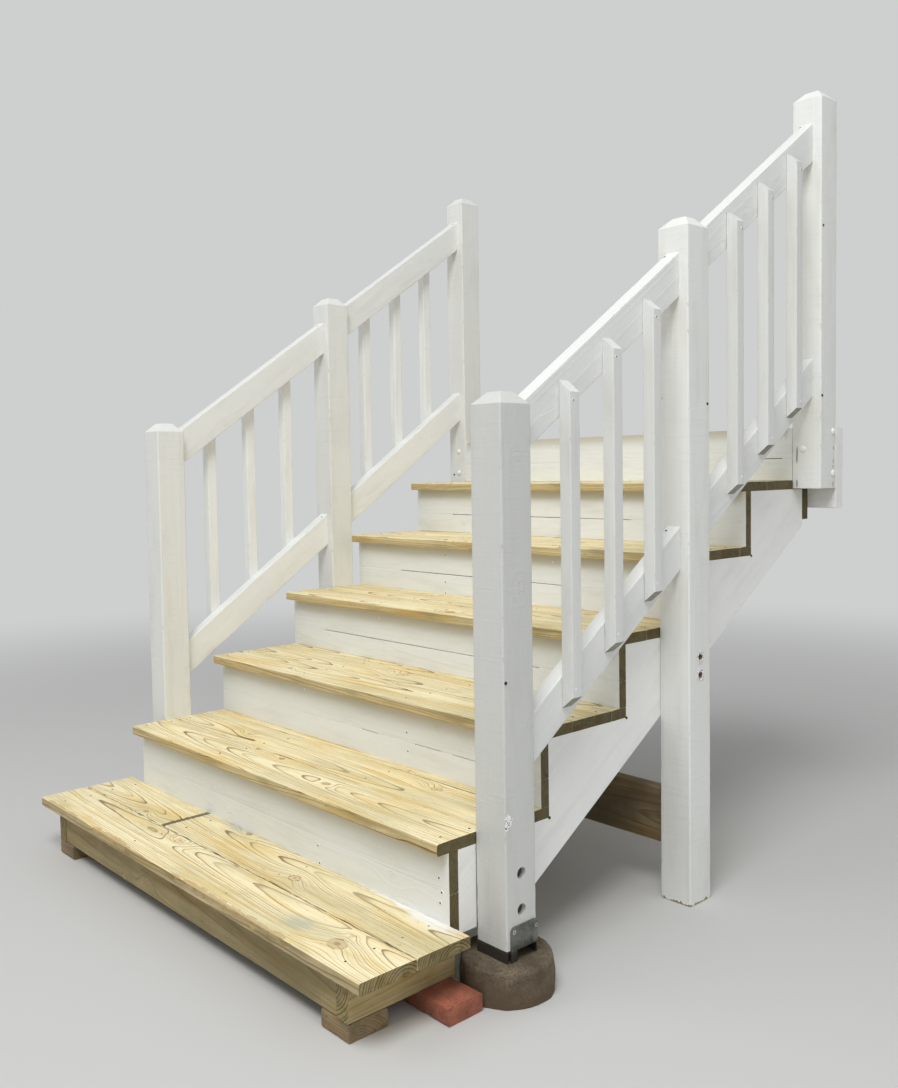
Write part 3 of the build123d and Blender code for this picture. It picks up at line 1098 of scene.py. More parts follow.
class Piece:
    """One object of the stair, gathered from worked lengths of wood, metal or stone."""

    def __init__(self, name: str) -> None:
        """Start an empty piece.

        Args:
            name: the object's name.
        """
        self.name = name
        self.bm = bmesh.new()
        for layer in ("board", "pith", *KNOT_PLACES):
            self.bm.verts.layers.float_vector.new(layer)
        for layer in ("tone", "edge", "bark", "joint", *(mark.value for mark in Mark)):
            self.bm.verts.layers.float.new(layer)

    def take(self, part: Shape, place: Matrix = IN_PLACE) -> None:
        """Add a worked part, which is freed, at its place in the stair."""
        part.transform(place)
        merge(self.bm, part)

    def fill(
        self, low: Vector, high: Vector, along: Vector, across: Vector, grain: Grain, **work: Any
    ) -> None:
        """Fill a box with one board.

        Args:
            low: the box's lowest corner.
            high: its highest corner.
            along: the axis that the grain follows.
            across: the axis that the board's width follows.
            grain: the board's grain.
            work: the rest of what the board is like.
        """
        sizes = [abs((high - low).dot(way)) for way in (along, across, along.cross(across))]
        self.take(Board(*sizes, grain, **work).carve(), lay((low + high) / 2, along, across))

    def set_down(self, slot: str, finishes: Sequence[Finish], *replaces: str) -> None:
        """Turn the piece into an object that rides with the stair.

        Args:
            slot: the record's material slot.
            finishes: the finish of each material index.
            replaces: the nodes that it stands for.
        """
        mesh = bpy.data.meshes.new(self.name)
        self.bm.to_mesh(mesh)
        self.bm.free()
        for finish in finishes:
            mesh.materials.append(finish.material)
        mesh.shade_smooth()
        mesh.set_sharp_from_angle(angle=SHARP)
        piece = new_object(self.name, mesh)
        piece.modifiers.new("flat_faces_lead", "WEIGHTED_NORMAL").keep_sharp = True
        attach(piece, "root")
        if replaces:
            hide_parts(*replaces)
        triangles = sum(len(p.vertices) - 2 for p in mesh.polygons)
        log.info("%s: %d triangles, slot %s", self.name, triangles, slot)


def facing(point: Sequence[float], out: Vector) -> Matrix:
    """Return the matrix that sets a head on a face at a point, looking out of it."""
    side = (UP if abs(out.z) < SQUARE_ON else RIGHT).cross(out)
    return lay(Vector(point), side, out.cross(side))


# the box step


@dataclass
class BoxStep:
    """The low first step: a two-board top on a sawn frame, blocks and bricks."""

    gap: float = GAP
    joint: float = 0.478
    edge_radius: float = 0.004
    lumber: float = LUMBER
    block_width: float = 0.089
    brick_width: float = 0.193

    def top(self) -> None:
        """Lay the front board, and the two lengths of the rear board."""
        board = {"nose": self.edge_radius, "pitch": 0.010, "strips": (6, 1)}
        knots = (Knot(0.604, -0.002, 0.017), Knot(-0.145, 0.050, 0.012), Knot(0.598, 0.041, 0.006))
        front = Piece("box_step_front_board")
        front.fill(
            *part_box("box_front_board"), RIGHT, BACK, Grain(11, (0.040, -0.050), 0.024, 0.75, knots), **board,
            wear=0.0011, wane=((-0.02, 0.60), (-0.76, -0.50), (-0.44, -0.16)),
            patches=(Patch(Mark.STAIN, 0.470, -0.004, 0.075, 0.048),), front=2, dark_sides=(0.0, 0.006),
        )
        front.set_down("treated_wood", (Finish.PINE, Finish.PINE_CUT, Finish.PINE_SHADED_LOW_SIDE), "box_front_board")

        low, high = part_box("box_back_board")
        split = low.x + self.joint
        left = Grain(12, (-0.02, -0.05), -0.045, 0.60, (Knot(0.098, -0.051, 0.007),))
        right = Grain(13, (0.03, -0.05), 0.034, 0.40, (Knot(0.027, -0.019, 0.013), Knot(-0.30, 0.06, 0.008)))
        marks = (
            Patch(Mark.SMEAR, 0.42, 0.064, 0.14, 0.048),
            Patch(Mark.SMEAR, 0.30, 0.070, 0.24, 0.020),
            Patch(Mark.STAIN, -0.36, 0.06, 0.12, 0.030),
        )
        back = Piece("box_step_back_boards")
        for start, end, grain, dark, patches in (
            (low.x, split, left, (0.0, 0.017), ()), (split + self.gap, high.x, right, (0.0105, 0.0), marks)
        ):
            corners = (Vector((start, *low.yz)), Vector((end, *high.yz)))
            back.fill(
                *corners, RIGHT, BACK, grain, **board, wear=0.0008, dark_ends=dark, dark_sides=(0.004, 0.0),
                patches=patches,
            )
        back.set_down("treated_wood", (Finish.PINE, Finish.PINE_CUT), "box_back_board")

    def under_frame(self) -> None:
        """Set up the sides, rims, joists, blocks and bricks under the top, two of each."""
        sawn = {"arris": 0.003}
        rough = {"arris": 0.004, "pitch": 0.008, "strips": (9, 4), "warp": 0.0, "wear": 0.0025}
        lumber, old = (Finish.LUMBER, Finish.PINE_CUT), (Finish.OLD_LUMBER, Finish.OLD_LUMBER)
        bricks = (Finish.BRICK, Finish.BRICK)
        for name, node, axis, width, ways, seed, slot, finishes, work in (
            ("sides", "box_sides", 0, self.lumber, (BACK, UP), 21, "treated_wood", lumber, sawn),
            ("rims", "box_rims", 1, self.lumber, (RIGHT, UP), 23, "treated_wood", lumber, sawn),
            ("joists", "box_joists", 0, self.lumber, (BACK, UP), 25, "treated_wood", lumber, sawn),
            ("blocks", "box_blocks", 0, self.block_width, (RIGHT, BACK), 31, "treated_wood", old, rough),
            ("bricks", "box_pavers", 0, self.brick_width, (RIGHT, BACK), 33, "brick", bricks, rough),
        ):
            piece = Piece(f"box_step_{name}")
            for number, (low, high) in enumerate(ends_of(*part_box(node), axis, width)):
                piece.fill(low, high, *ways, Grain(seed + number), **work)
            piece.set_down(slot, finishes, node)

    def build(self) -> None:
        """Build the whole box step."""
        self.top()
        self.under_frame()


# treads and risers


@dataclass
class Flight:
    """The five treads of three boards each and the six risers of two boards each.

    Knots are kept by tread and board, and the open stretches of a riser's seam by riser.
    """

    board_width: float = 0.1397
    gap: float = GAP
    nose: float = 0.005
    rise: float = RISE
    lower_board: float = 0.0635
    seam_end: float = 0.0005
    seam_set_back: float = 0.0009
    # how far down from an upper riser board's top the painted shade under the nosing reaches
    nosing_shade_reach: float = 0.052
    tones: tuple[float, ...] = (0.75, 0.70, 0.35)
    tread_knots: dict[tuple[int, int], tuple[Knot, ...]] = field(
        default_factory=lambda: {
            (1, 0): (Knot(-0.068, 0.056, 0.009), Knot(0.201, 0.009, 0.007), Knot(-0.195, 0.062, 0.007)),
            (1, 1): (Knot(0.42, 0.03, 0.011), Knot(-0.35, -0.01, 0.008)),
            (2, 0): (Knot(0.094, 0.056, 0.006), Knot(-0.33, -0.02, 0.008)),
            (3, 0): (Knot(0.087, -0.033, 0.011), Knot(0.298, 0.02, 0.009)),
            (4, 0): (Knot(-0.12, -0.05, 0.010), Knot(0.30, -0.04, 0.008)),
            (5, 0): (Knot(-0.55, -0.055, 0.011), Knot(0.06, -0.05, 0.010)),
        }
    )
    seam_open: dict[int, tuple[Pair, ...]] = field(
        default_factory=lambda: {
            1: (),
            2: ((0.04, 0.11), (0.26, 0.36), (0.40, 0.62)),
            3: ((-0.515, 0.43),),
            4: ((-0.46, -0.02), (0.10, 0.31)),
            5: ((-0.50, -0.36), (-0.12, 0.30)),
            6: ((0.58, 0.66),),
        }
    )

    def treads(self) -> None:
        """Lay the three boards of each tread."""
        for k in range(1, 6):
            low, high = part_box(f"tread_{k}")
            first = low.y + self.board_width
            second = first + self.gap + self.board_width
            spans = ((low.y, first), (first + self.gap, second), (second + self.gap, high.y))
            tread = Piece(f"tread_{k}_boards")
            for number, (start, end) in enumerate(spans):
                chance = random.Random(k * 101 + number)
                grain = Grain(
                    k * 10 + number + 200,
                    (chance.uniform(-0.05, 0.05), -chance.uniform(0.03, 0.09)),
                    chance.uniform(0.012, 0.04) * chance.choice((-1, 1)),
                    self.tones[number] + chance.uniform(-0.2, 0.2),
                    self.tread_knots.get((k, number)),
                )
                tread.fill(
                    Vector((low.x, start, low.z)), Vector((high.x, end, high.z)), RIGHT, BACK, grain,
                    nose=(self.nose, 0.0, 0.0)[number], arris=0.0016, pitch=0.014,
                    strips=((5, 5, 2)[number], 0), wear=0.0007, front=2,
                )
            tread.set_down("treated_wood", (Finish.PINE, Finish.PINE_EDGE, Finish.PINE_SHADED_SIDE), f"tread_{k}")

    def risers(self) -> None:
        """Stand the two boards of each riser, with paint left in a part of the seam."""
        for k in range(1, 7):
            low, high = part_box(f"riser_{k}")
            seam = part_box("tread_1")[1].z + self.rise * (k - 2) + self.lower_board
            riser = Piece(f"riser_{k}_boards")
            for number, (start, end) in enumerate(((low.z, seam), (seam + self.gap, high.z))):
                # the upper board's top edge is marked for the painted shade under the tread's nosing
                riser.fill(
                    Vector((*low.xy, start)), Vector((*high.xy, end)), RIGHT, UP,
                    Grain(k * 10 + number + 300, tone=0.5), arris=0.001, strips=(3, 0), wear=0.0004,
                    warp=0.0005, dark_sides=(0.0, self.nosing_shade_reach * number),
                )
            starts = (low.x + self.seam_end, *(end for _, end in self.seam_open[k]))
            ends = (*(start for start, _ in self.seam_open[k]), high.x - self.seam_end)
            front, paint = low.y + self.seam_set_back, Grain(k + 400, tone=0.5, knots=())
            for start, end in zip(starts, ends):
                if end - start > 0.01:
                    riser.fill(
                        Vector((start, front, seam - 0.3 * self.gap)),
                        Vector((end, front + 0.9 * (high.y - low.y), seam + 1.3 * self.gap)),
                        RIGHT, UP, paint, arris=0.0003, pitch=0.015, strips=(0, 0), warp=0.0, wear=0.0002,
                    )
            riser.set_down("painted_wood", (Finish.PAINT_RISER, Finish.PINE_EDGE), f"riser_{k}")

    def build(self) -> None:
        """Build the treads and the risers."""
        self.treads()
        self.risers()


@dataclass
class Stringers:
    """The four notched stringers."""

    rise: float = RISE
    run: float = 0.2794
    treads: int = 5
    tread_thickness: float = BOARD
    riser_thickness: float = BOARD
    thickness: float = LUMBER
    depth: float = 0.2413
    plank_length: float = 1.6
    toe: float = 0.026
    arris: float = 0.0016

    def outline(self) -> list[Pair]:
        """Return the corners of the notched profile, as places along and up the stair."""
        first_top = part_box("tread_1")[1].z
        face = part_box("riser_1")[0].y
        slope = self.rise / self.run
        drop = self.depth * math.hypot(self.rise, self.run) / self.run
        foot = -self.rise - self.toe
        rear = self.treads * self.run + self.riser_thickness
        points = [(self.riser_thickness, foot), (self.riser_thickness, -self.tread_thickness)]
        for k in range(1, self.treads):
            reach = k * self.run + self.riser_thickness
            points += [(reach, tread * self.rise - self.tread_thickness) for tread in (k - 1, k)]
        last = (self.treads - 1) * self.rise - self.tread_thickness
        under = slope * (rear - self.riser_thickness) - self.tread_thickness - drop
        heel = self.riser_thickness + (foot + self.tread_thickness + drop) / slope
        points += [(rear, last), (rear, under), (heel, foot)]
        return [(y + face, z + first_top) for y, z in points]

    def cut(self, start: float, seed: int, painted: bool) -> Shape:
        """Cut one stringer from its plank.

        Args:
            start: where its left face is across the stair.
            seed: the seed of its grain.
            painted: whether its rough cuts are painted too.

        Returns:
            The stringer, in place.
        """
        bm = prism(self.outline(), start, self.thickness)
        for f in bm.faces:
            f.material_index = 0 if abs(f.normal.x) > SQUARE_ON or painted else 1
        ease(bm, [e for e in bm.edges if e.is_convex and e.calc_face_angle(0) > 0.3], self.arris, 2)
        bmesh.ops.triangulate(bm, faces=[f for f in bm.faces if len(f.verts) > 4])
        slope = Vector((0, self.run, self.rise)).normalized()
        low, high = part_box("stringer_right")
        middle = Vector((start + self.thickness / 2, *((low + high) / 2).yz))
        to_plank = lay(middle, slope, slope.cross(-RIGHT))
        bm.transform(to_plank.inverted())
        grain = Grain(seed, (0.02, -0.07), 0.012, 1.0 if painted else None)
        grain.write(bm, self.plank_length, self.depth)
        bm.transform(to_plank)
        return bm

    def build(self) -> None:
        """Build the outer and the inner stringers."""
        paint = (Finish.PAINT_STRINGER, Finish.PAINT_STRINGER)
        for number, (hand, _) in enumerate(HANDS):
            outer = Piece(f"stringer_{hand}_cut")
            outer.take(self.cut(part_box(f"stringer_{hand}")[0].x, 501 + number, True))
            outer.set_down("painted_wood", paint, f"stringer_{hand}")
        inner = Piece("stringers_inner_cut")
        for number, (low, _) in enumerate(ends_of(*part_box("stringers_inner"), 0, self.thickness)):
            inner.take(self.cut(low.x, 511 + number, False))
        inner.set_down("treated_wood", (Finish.LUMBER, Finish.PINE_EDGE), "stringers_inner")


# posts, rails and balusters


@dataclass
class Posts:
    """The six posts with their chamfered tops, bolt holes and bolt heads.

    Heights are above the ground. A bore is its radius, its depth and how torn its rim is, a scar its height,
    its place across the post and its radius, and a split its foot, its head and its place across the post.
    """

    size: float = 2 * POST_HALF
    cap: float = 0.0254
    arris: float = 0.004
    # the tone of each post darkens its paint: set post by post, lowest on the front right post, as painted
    # shade and light
    tones: dict[tuple[str, str], float] = field(
        default_factory=lambda: {
            ("front", "right"): 0.10, ("mid", "right"): 1.0, ("top", "right"): 1.0,
            ("front", "left"): 0.90, ("mid", "left"): 0.85, ("top", "left"): 0.85,
        }
    )
    bolts: dict[str, tuple[float, ...]] = field(
        default_factory=lambda: {"front": (0.2548, 0.1783), "mid": (0.5723, 0.6173), "top": ()}
    )
    bores: dict[str, tuple[float, float, float]] = field(
        default_factory=lambda: {"front": (0.0127, 0.012, 0.02), "mid": (0.008, 0.0135, 0.35)}
    )
    torn_radius: float = 0.0150
    scars: tuple[tuple[float, float, float], ...] = ((0.371, 0.034, 0.0115), (0.358, 0.040, 0.0055))
    front_splits: tuple[Pair, ...] = ((1.0205, 1.045), (1.090, 1.142))
    outer_splits: tuple[tuple[float, float, float], ...] = (
        (1.022, 1.039, -0.0264), (1.077, 1.086, -0.0262), (1.090, 1.103, -0.0277), (1.129, 1.139, -0.0296),
    )
    front_split_depth: float = 0.0158
    top_bolts: Pair = (1.0622, 1.1820)
    top_bolt_set_back: float = 0.0205
    head_bolts: dict[str, tuple[Pair, ...]] = field(
        default_factory=lambda: {"right": ((0.7258, 1.1327),), "left": ((-0.7285, 1.160), (-0.7285, 1.078))}
    )

    def post(self, row: str, hand: str, side: int) -> None:
        """Stand one post.

        Args:
            row: front, mid or top.
            hand: left or right.
            side: -1 on the left and 1 on the right.
        """
        node = f"post_{row}_{hand}"
        low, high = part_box(node)
        middle = (low + high) / 2
        seed = 600 + 10 * ("front", "mid", "top").index(row) + side
        sunk = tuple(Bore(height - middle.z, 0.0, *self.bores[row]) for height in self.bolts[row])
        cracks, scars = [], []
        if row == "mid":
            scars = [(height, 0.0, self.torn_radius) for height in self.bolts[row]]
        if node == "post_front_right":
            scars = self.scars
        if node == "post_top_right":
            across = self.front_split_depth - POST_HALF
            cracks = [(foot, head, across, True) for foot, head in self.front_splits]
            cracks += [(*crack, False) for crack in self.outer_splits]
        hurt = tuple(Knot(height - middle.z, *place) for height, *place in scars)
        board = Board(
            (high - low).z, self.size, self.size, Grain(seed, tone=self.tones[row, hand], scars=hurt),
            arris=self.arris, cap=self.cap, pitch=0.016, strips=(3, 3), warp=0.0009, wear=0.0009,
            bores=sunk, ends=(1, 0),
            splits=tuple(Split(foot - middle.z, head - middle.z, *place) for foot, head, *place in cracks),
        )
        piece = Piece(f"{node}_timber")
        piece.take(board.carve(), lay(middle, UP, BACK * -side))
        inside = Finish.OLD_LUMBER if row == "mid" else Finish.PAINT_POST
        piece.set_down("painted_wood", (Finish.PAINT_POST, Finish.OLD_LUMBER, inside, Finish.RECESS_SHADE), node)

    def build(self) -> None:
        """Stand all six posts and set the bolt heads of the top ones."""
        bolts = Piece("top_post_bolts")
        for hand, side in HANDS:
            for row in self.bolts:
                self.post(row, hand, side)
            low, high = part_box(f"post_top_{hand}")
            outer, y = high.x if side > 0 else low.x, high.y - self.top_bolt_set_back
            places = [((outer, y, z), RIGHT * side) for z in self.top_bolts]
            places += [((x, low.y, z), -BACK) for x, z in self.head_bolts[hand]]
            for point, out in places:
                bolts.take(CarriageBolt().carve(), facing(point, out))
        bolts.set_down("painted_wood", (Finish.PAINT_HEAD,))


@dataclass
class Railing:
    """The two sloping rails and three balusters of every bay."""

    pitch: dict[str, float] = field(default_factory=lambda: {"top": 0.687, "bottom": 0.693})
    width: float = LUMBER
    depth: float = 0.0889
    baluster: float = 0.03175
    bevel: float = 0.026
    count: int = 3

    def rails(self, hand: str, bay: str) -> None:
        """Fit the upper and the lower rail of one bay.

        Args:
            hand: left or right.
            bay: lower or upper.
        """
        for kind, pitch in self.pitch.items():
            direction = Vector((0, 1, pitch)).normalized()
            node = f"rail_{kind}_{bay}_{hand}"
            low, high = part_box(node)
            # the tone darkens the paint: set lower on all but the left bottom rails, as painted shade
            grain = Grain(700 + hash_of(node), tone=1.0 if (hand, kind) == ("left", "bottom") else 0.70)
            board = Board(
                (high.y - low.y) / direction.y, self.depth, self.width, grain, arris=0.003, pitch=0.018,
                strips=(3, 1), start_cut=(pitch, 0), end_cut=(pitch, 0), warp=0.0008, wear=0.0006,
            )
            rail = Piece(f"{node}_timber")
            rail.take(board.carve(), lay((low + high) / 2, direction, direction.cross(-RIGHT)))
            rail.set_down("painted_wood", (Finish.PAINT, Finish.PAINT), node)

    def stations(self, node: str) -> list[tuple[float, float, float]]:
        """Return where each baluster of a bay stands and how high its foot and its head are.

        Args:
            node: the balusters' node.

        Returns:
            For each baluster, the place of its middle along the stair, its lower end and its upper end.
        """
        low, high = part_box(node)
        step = (high.y - low.y - self.baluster) / (self.count - 1)
        return [
            (
                low.y + self.baluster / 2 + i * step,
                low.z + self.pitch["bottom"] * step * i,
                high.z - self.pitch["top"] * step * (self.count - 1 - i),
            )
            for i in range(self.count)
        ]

    def balusters(self, hand: str, side: int, bay: str) -> None:
        """Fit the three balusters of one bay.

        Args:
            hand: left or right.
            side: -1 on the left and 1 on the right.
            bay: lower or upper.
        """
        node = f"balusters_{bay}_{hand}"
        low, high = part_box(node)
        slant = self.bevel / self.baluster
        group = Piece(f"{node}_timber")
        for number, (y, foot, head) in enumerate(self.stations(node)):
            # the tone darkens the paint: set lower on the right-hand balusters, as painted shade
            grain = Grain(hash_of(node) + 800 + number, tone=0.30 if side > 0 else 1.0, knots=())
            board = Board(
                head - foot - self.bevel, self.baluster, self.baluster, grain, arris=0.0024, pitch=0.016,
                strips=(1, 1), start_cut=(0, slant), end_cut=(0, -slant), warp=0.0004, wear=0.0006,
                ends=(1, 0),
            )
            middle = Vector(((low.x + high.x) / 2, y, (foot + head) / 2))
            group.take(board.carve(), lay(middle, UP, BACK * -side))
        group.set_down("painted_wood", (Finish.PAINT, Finish.BARE_FOOT), node)

    def build(self) -> None:
        """Build the four bays."""
        for hand, side in HANDS:
            for bay in BAYS:
                self.rails(hand, bay)
                self.balusters(hand, side, bay)


def hash_of(name: str) -> int:
    """Return a number from 0 to 96 that is always the same for a name."""
    return sum((i + 1) * ord(c) for i, c in enumerate(name)) % 97


# what carries the stair


@dataclass
class Footings:
    """The steel standoff bases and the concrete piers under the front posts.

    The slot is its start and its end along the strap and its height, a nail its place from the strap's middle
    and its height, and a nail's head its radius, its height and the radius of its recess.
    """

    plate: float = 0.003
    standoff: float = 0.0254
    foot_gap: float = 0.0016
    fold: float = 0.0026
    strap_width: float = 0.080
    strap_shift: float = 0.0045
    strap_corner: float = 0.011
    inner_strap_drop: float = 0.0046
    slot: tuple[float, float, float] = (-0.023, 0.045, 0.030)
    slot_drop: float = 0.0017
    crease: float = 0.0014
    nails: tuple[Pair, ...] = ((-0.0262, 0.1387), (0.0392, 0.1351))
    nail_head: tuple[float, float, float] = (0.0052, 0.0009, 0.0019)
    pier_rim: float = 0.007
    pier_rough: Pair = (0.0060, 0.0014)
    shadow_strip: Pair = (0.0034, 0.0024)
    shadow_strip_set_back: float = 0.0002

    def strap(self, x: float, y: float, low: float, high: float, slotted: bool) -> Shape:
        """Cut one strap from sheet, with its upper corners round and a slot above its foot.

        Args:
            x: where its middle is across the stair.
            y: where its middle is along the stair.
            low: its lower end.
            high: its upper end.
            slotted: whether it has the slot.

        Returns:
            The strap, in place.
        """
        bm = bmesh.new()
        bmesh.ops.create_grid(bm, x_segments=1, y_segments=1, size=0.5)
        bmesh.ops.scale(bm, vec=(self.strap_width, high - low, 1), verts=bm.verts)
        ease(bm, [v for v in bm.verts if v.co.y > 0], self.strap_corner, 6, affect="VERTICES")
        if slotted:
            start, end, height = self.slot
            top = -(high - low) / 2 + self.standoff - self.slot_drop
            cuts = [((x, 0, 0), RIGHT) for x in (start, end, -self.crease, 0.0, self.crease)]
            cuts += [((0, y, 0), BACK) for y in (top - height, top)]
            for place, normal in cuts:
                geom = bm.verts[:] + bm.edges[:] + bm.faces[:]
                bmesh.ops.bisect_plane(bm, geom=geom, plane_co=place, plane_no=normal)
            middles = [(f, f.calc_center_median()) for f in bm.faces]
            hole = [f for f, middle in middles if start < middle.x < end and top - height < middle.y < top]
            bmesh.ops.delete(bm, geom=hole, context="FACES")
            for v in bm.verts:
                if abs(v.co.x) < self.crease / 2 and v.co.y > top - HAIR:
                    v.co.z -= self.crease
        bmesh.ops.solidify(bm, geom=bm.faces[:], thickness=self.plate)
        bmesh.ops.recalc_face_normals(bm, faces=bm.faces)
        depths = [v.co.z for v in bm.verts]
        bmesh.ops.translate(bm, vec=(0, 0, -(max(depths) + min(depths)) / 2), verts=bm.verts)
        bm.transform(lay(Vector((x, y, (low + high) / 2)), BACK, UP))
        return bm

    def seat(self, size: float) -> Shape:
        """Fold the raised seat under a post, open at both sides.

        Args:
            size: how wide it is.

        Returns:
            The seat, its foot in the middle of the axes.
        """
        half, top, wall = size / 2, self.standoff - self.foot_gap, self.plate
        profile = (
            (-half, 0), (-half, top), (half, top), (half, 0),
            (half - wall, 0), (half - wall, top - wall), (wall - half, top - wall), (wall - half, 0),
        )
        bm = prism(profile, -half, size)
        upper = [e for e in bm.edges if is_along(e, 0) and all(v.co.z > top - HAIR for v in e.verts)]
        ease(bm, [e for e in upper if e.is_convex], self.fold, 4)
        return bm

    def pier(self, radius: float, height: float, side: int) -> Shape:
        """Cast one round pier, with a rough skin.

        Args:
            radius: its radius.
            height: its height.
            side: -1 on the left and 1 on the right.

        Returns:
            The pier, in the middle of the axes.
        """
        pier = bmesh.new()
        bmesh.ops.create_cone(pier, cap_ends=True, segments=96, radius1=radius, radius2=radius, depth=height)
        pier.normal_update()
        ease(pier, [e for e in pier.edges if all(v.co.z > 0 for v in e.verts)], self.pier_rim, 4)
        divide(pier, [e for e in pier.edges if is_along(e, 2) and e.calc_length() > 0.04], 9)
        for v in pier.verts:
            out = Vector((v.co.x, v.co.y, 0)).normalized()
            coarse, fine = noise.noise(v.co * 16 + Vector((side, 0, 0))), noise.noise(v.co * 80)
            bite = abs(coarse) * self.pier_rough[0] + abs(fine) * self.pier_rough[1]
            v.co -= out * bite
            v.co.z -= bite * 0.5 if v.co.z > 0.02 else 0
        Grain(900 + side).write(pier, 0.2, 0.2)
        return pier

    def build(self) -> None:
        """Build the bases, the piers and the painted shadow strips between each front post and its stringer.
        """
        bases, nails = Piece("post_base_plates"), Piece("post_base_nails")
        piers, shadow_strips = Piece("concrete_piers"), Piece("post_gap_painted_shadow")
        base_low, base_high = (corner.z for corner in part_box("post_bases"))
        pier_low, pier_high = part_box("piers")
        foot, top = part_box("stringer_right")[0].z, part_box("riser_1")[1].z
        for hand, side in HANDS:
            low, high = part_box(f"post_front_{hand}")
            x, y, _ = (low + high) / 2
            half = (high.x - low.x) / 2
            bases.take(self.seat(2 * half), Matrix.Translation((x, y, base_low)))
            reach = side * (half + self.plate / 2)
            along = y + self.strap_shift
            bases.take(self.strap(x + reach, along, base_low, base_high, True))
            bases.take(self.strap(x - reach, along, base_low, foot - self.inner_strap_drop, False))
            outer = x + side * (half + self.plate)
            for shift, z in self.nails:
                nails.take(ScrewHead(*self.nail_head).carve(), facing((outer, y + shift, z), RIGHT * side))
            pier = self.pier(pier_high.x - side * x, pier_high.z - pier_low.z, side)
            piers.take(pier, Matrix.Translation((x, y, (pier_low.z + pier_high.z) / 2)))
            # a thin dark strip where the post meets the stringer: painted shadow of the gap between them
            width, depth = self.shadow_strip
            left = low.x if side > 0 else high.x - width
            front = low.y + self.shadow_strip_set_back
            shadow_strips.fill(
                Vector((left, front, foot)), Vector((left + width, front + depth, top)), UP, RIGHT,
                Grain(950 + side, knots=()), arris=0.0004, strips=(0, 0), warp=0.0, wear=0.0004,
            )
        bases.set_down("galvanised_steel", (Finish.ZINC,), "post_bases")
        nails.set_down("galvanised_steel", (Finish.NAIL, Finish.DARK_SCREW))
        piers.set_down("concrete", (Finish.CONCRETE,), "piers")
        shadow_strips.set_down("painted_wood", (Finish.RECESS_SHADE, Finish.RECESS_SHADE))


@dataclass
class HeadFraming:
    """The boards that hang the flight at its head, and the tie between the middle posts."""

    arris: float = 0.003
    rim: tuple[Finish, Finish] = (Finish.PAINT_STRINGER, Finish.PAINT_STRINGER)
    rough: tuple[Finish, Finish] = (Finish.OLD_LUMBER, Finish.PINE_EDGE)

    def build(self) -> None:
        """Build the packing, the hanger, the rim and the tie."""
        for node, name, slot, finishes, seed in (
            ("packing_board", "head_packing", "treated_wood", self.rough, 41),
            ("hanger_board", "head_hanger", "treated_wood", self.rough, 42),
            ("rim_board", "head_rim", "painted_wood", self.rim, 43),
            # the tie takes the darker old lumber: partly its weathering, partly painted shade under the flight
            ("cross_tie", "middle_post_tie", "treated_wood", self.rough, 44),
        ):
            piece = Piece(name)
            piece.fill(*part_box(node), RIGHT, UP, Grain(seed), arris=self.arris, pitch=0.03, warp=0.0006)
            piece.set_down(slot, finishes, node)


# fixings


@dataclass
class ScrewHead:
    """A countersunk screw head with its recess."""

    radius: float
    height: float
    recess: float
    taper: float = 0.86
    wall: float = 0.1
    sink: float = 0.3

    def carve(self) -> Shape:
        """Return the head, its recess on the second finish, standing on z = 0."""
        bm = bmesh.new()
        rim = self.radius * self.taper
        bmesh.ops.create_cone(
            bm, cap_ends=True, segments=14, radius1=self.radius, radius2=rim, depth=2 * self.height
        )
        bm.normal_update()
        top = [f for f in bm.faces if f.normal.z > SQUARE_ON]
        bmesh.ops.inset_region(bm, faces=top, thickness=rim - self.recess, depth=0)
        wall, sink = self.wall * self.recess, self.sink * self.height
        walls = bmesh.ops.inset_region(bm, faces=top, thickness=wall, depth=-sink)
        for f in (*top, *walls["faces"]):
            f.material_index = 1
        CLEAR.write(bm, self.radius, self.radius)
        return bm


@dataclass
class CarriageBolt:
    """A domed bolt head."""

    radius: float = 0.0098
    height: float = 0.0052
    foot: float = 0.0004

    def carve(self) -> Shape:
        """Return the head, standing on z = 0."""
        bm = bmesh.new()
        bmesh.ops.create_uvsphere(bm, u_segments=24, v_segments=12, radius=self.radius)
        geom = bm.verts[:] + bm.edges[:] + bm.faces[:]
        bmesh.ops.bisect_plane(bm, geom=geom, plane_co=UP * self.foot, plane_no=UP, clear_inner=True)
        bmesh.ops.scale(bm, vec=(1, 1, self.height / self.radius), verts=bm.verts)
        bmesh.ops.holes_fill(bm, edges=[e for e in bm.edges if e.is_boundary], sides=0)
        CLEAR.write(bm, self.radius, self.radius)
        return bm


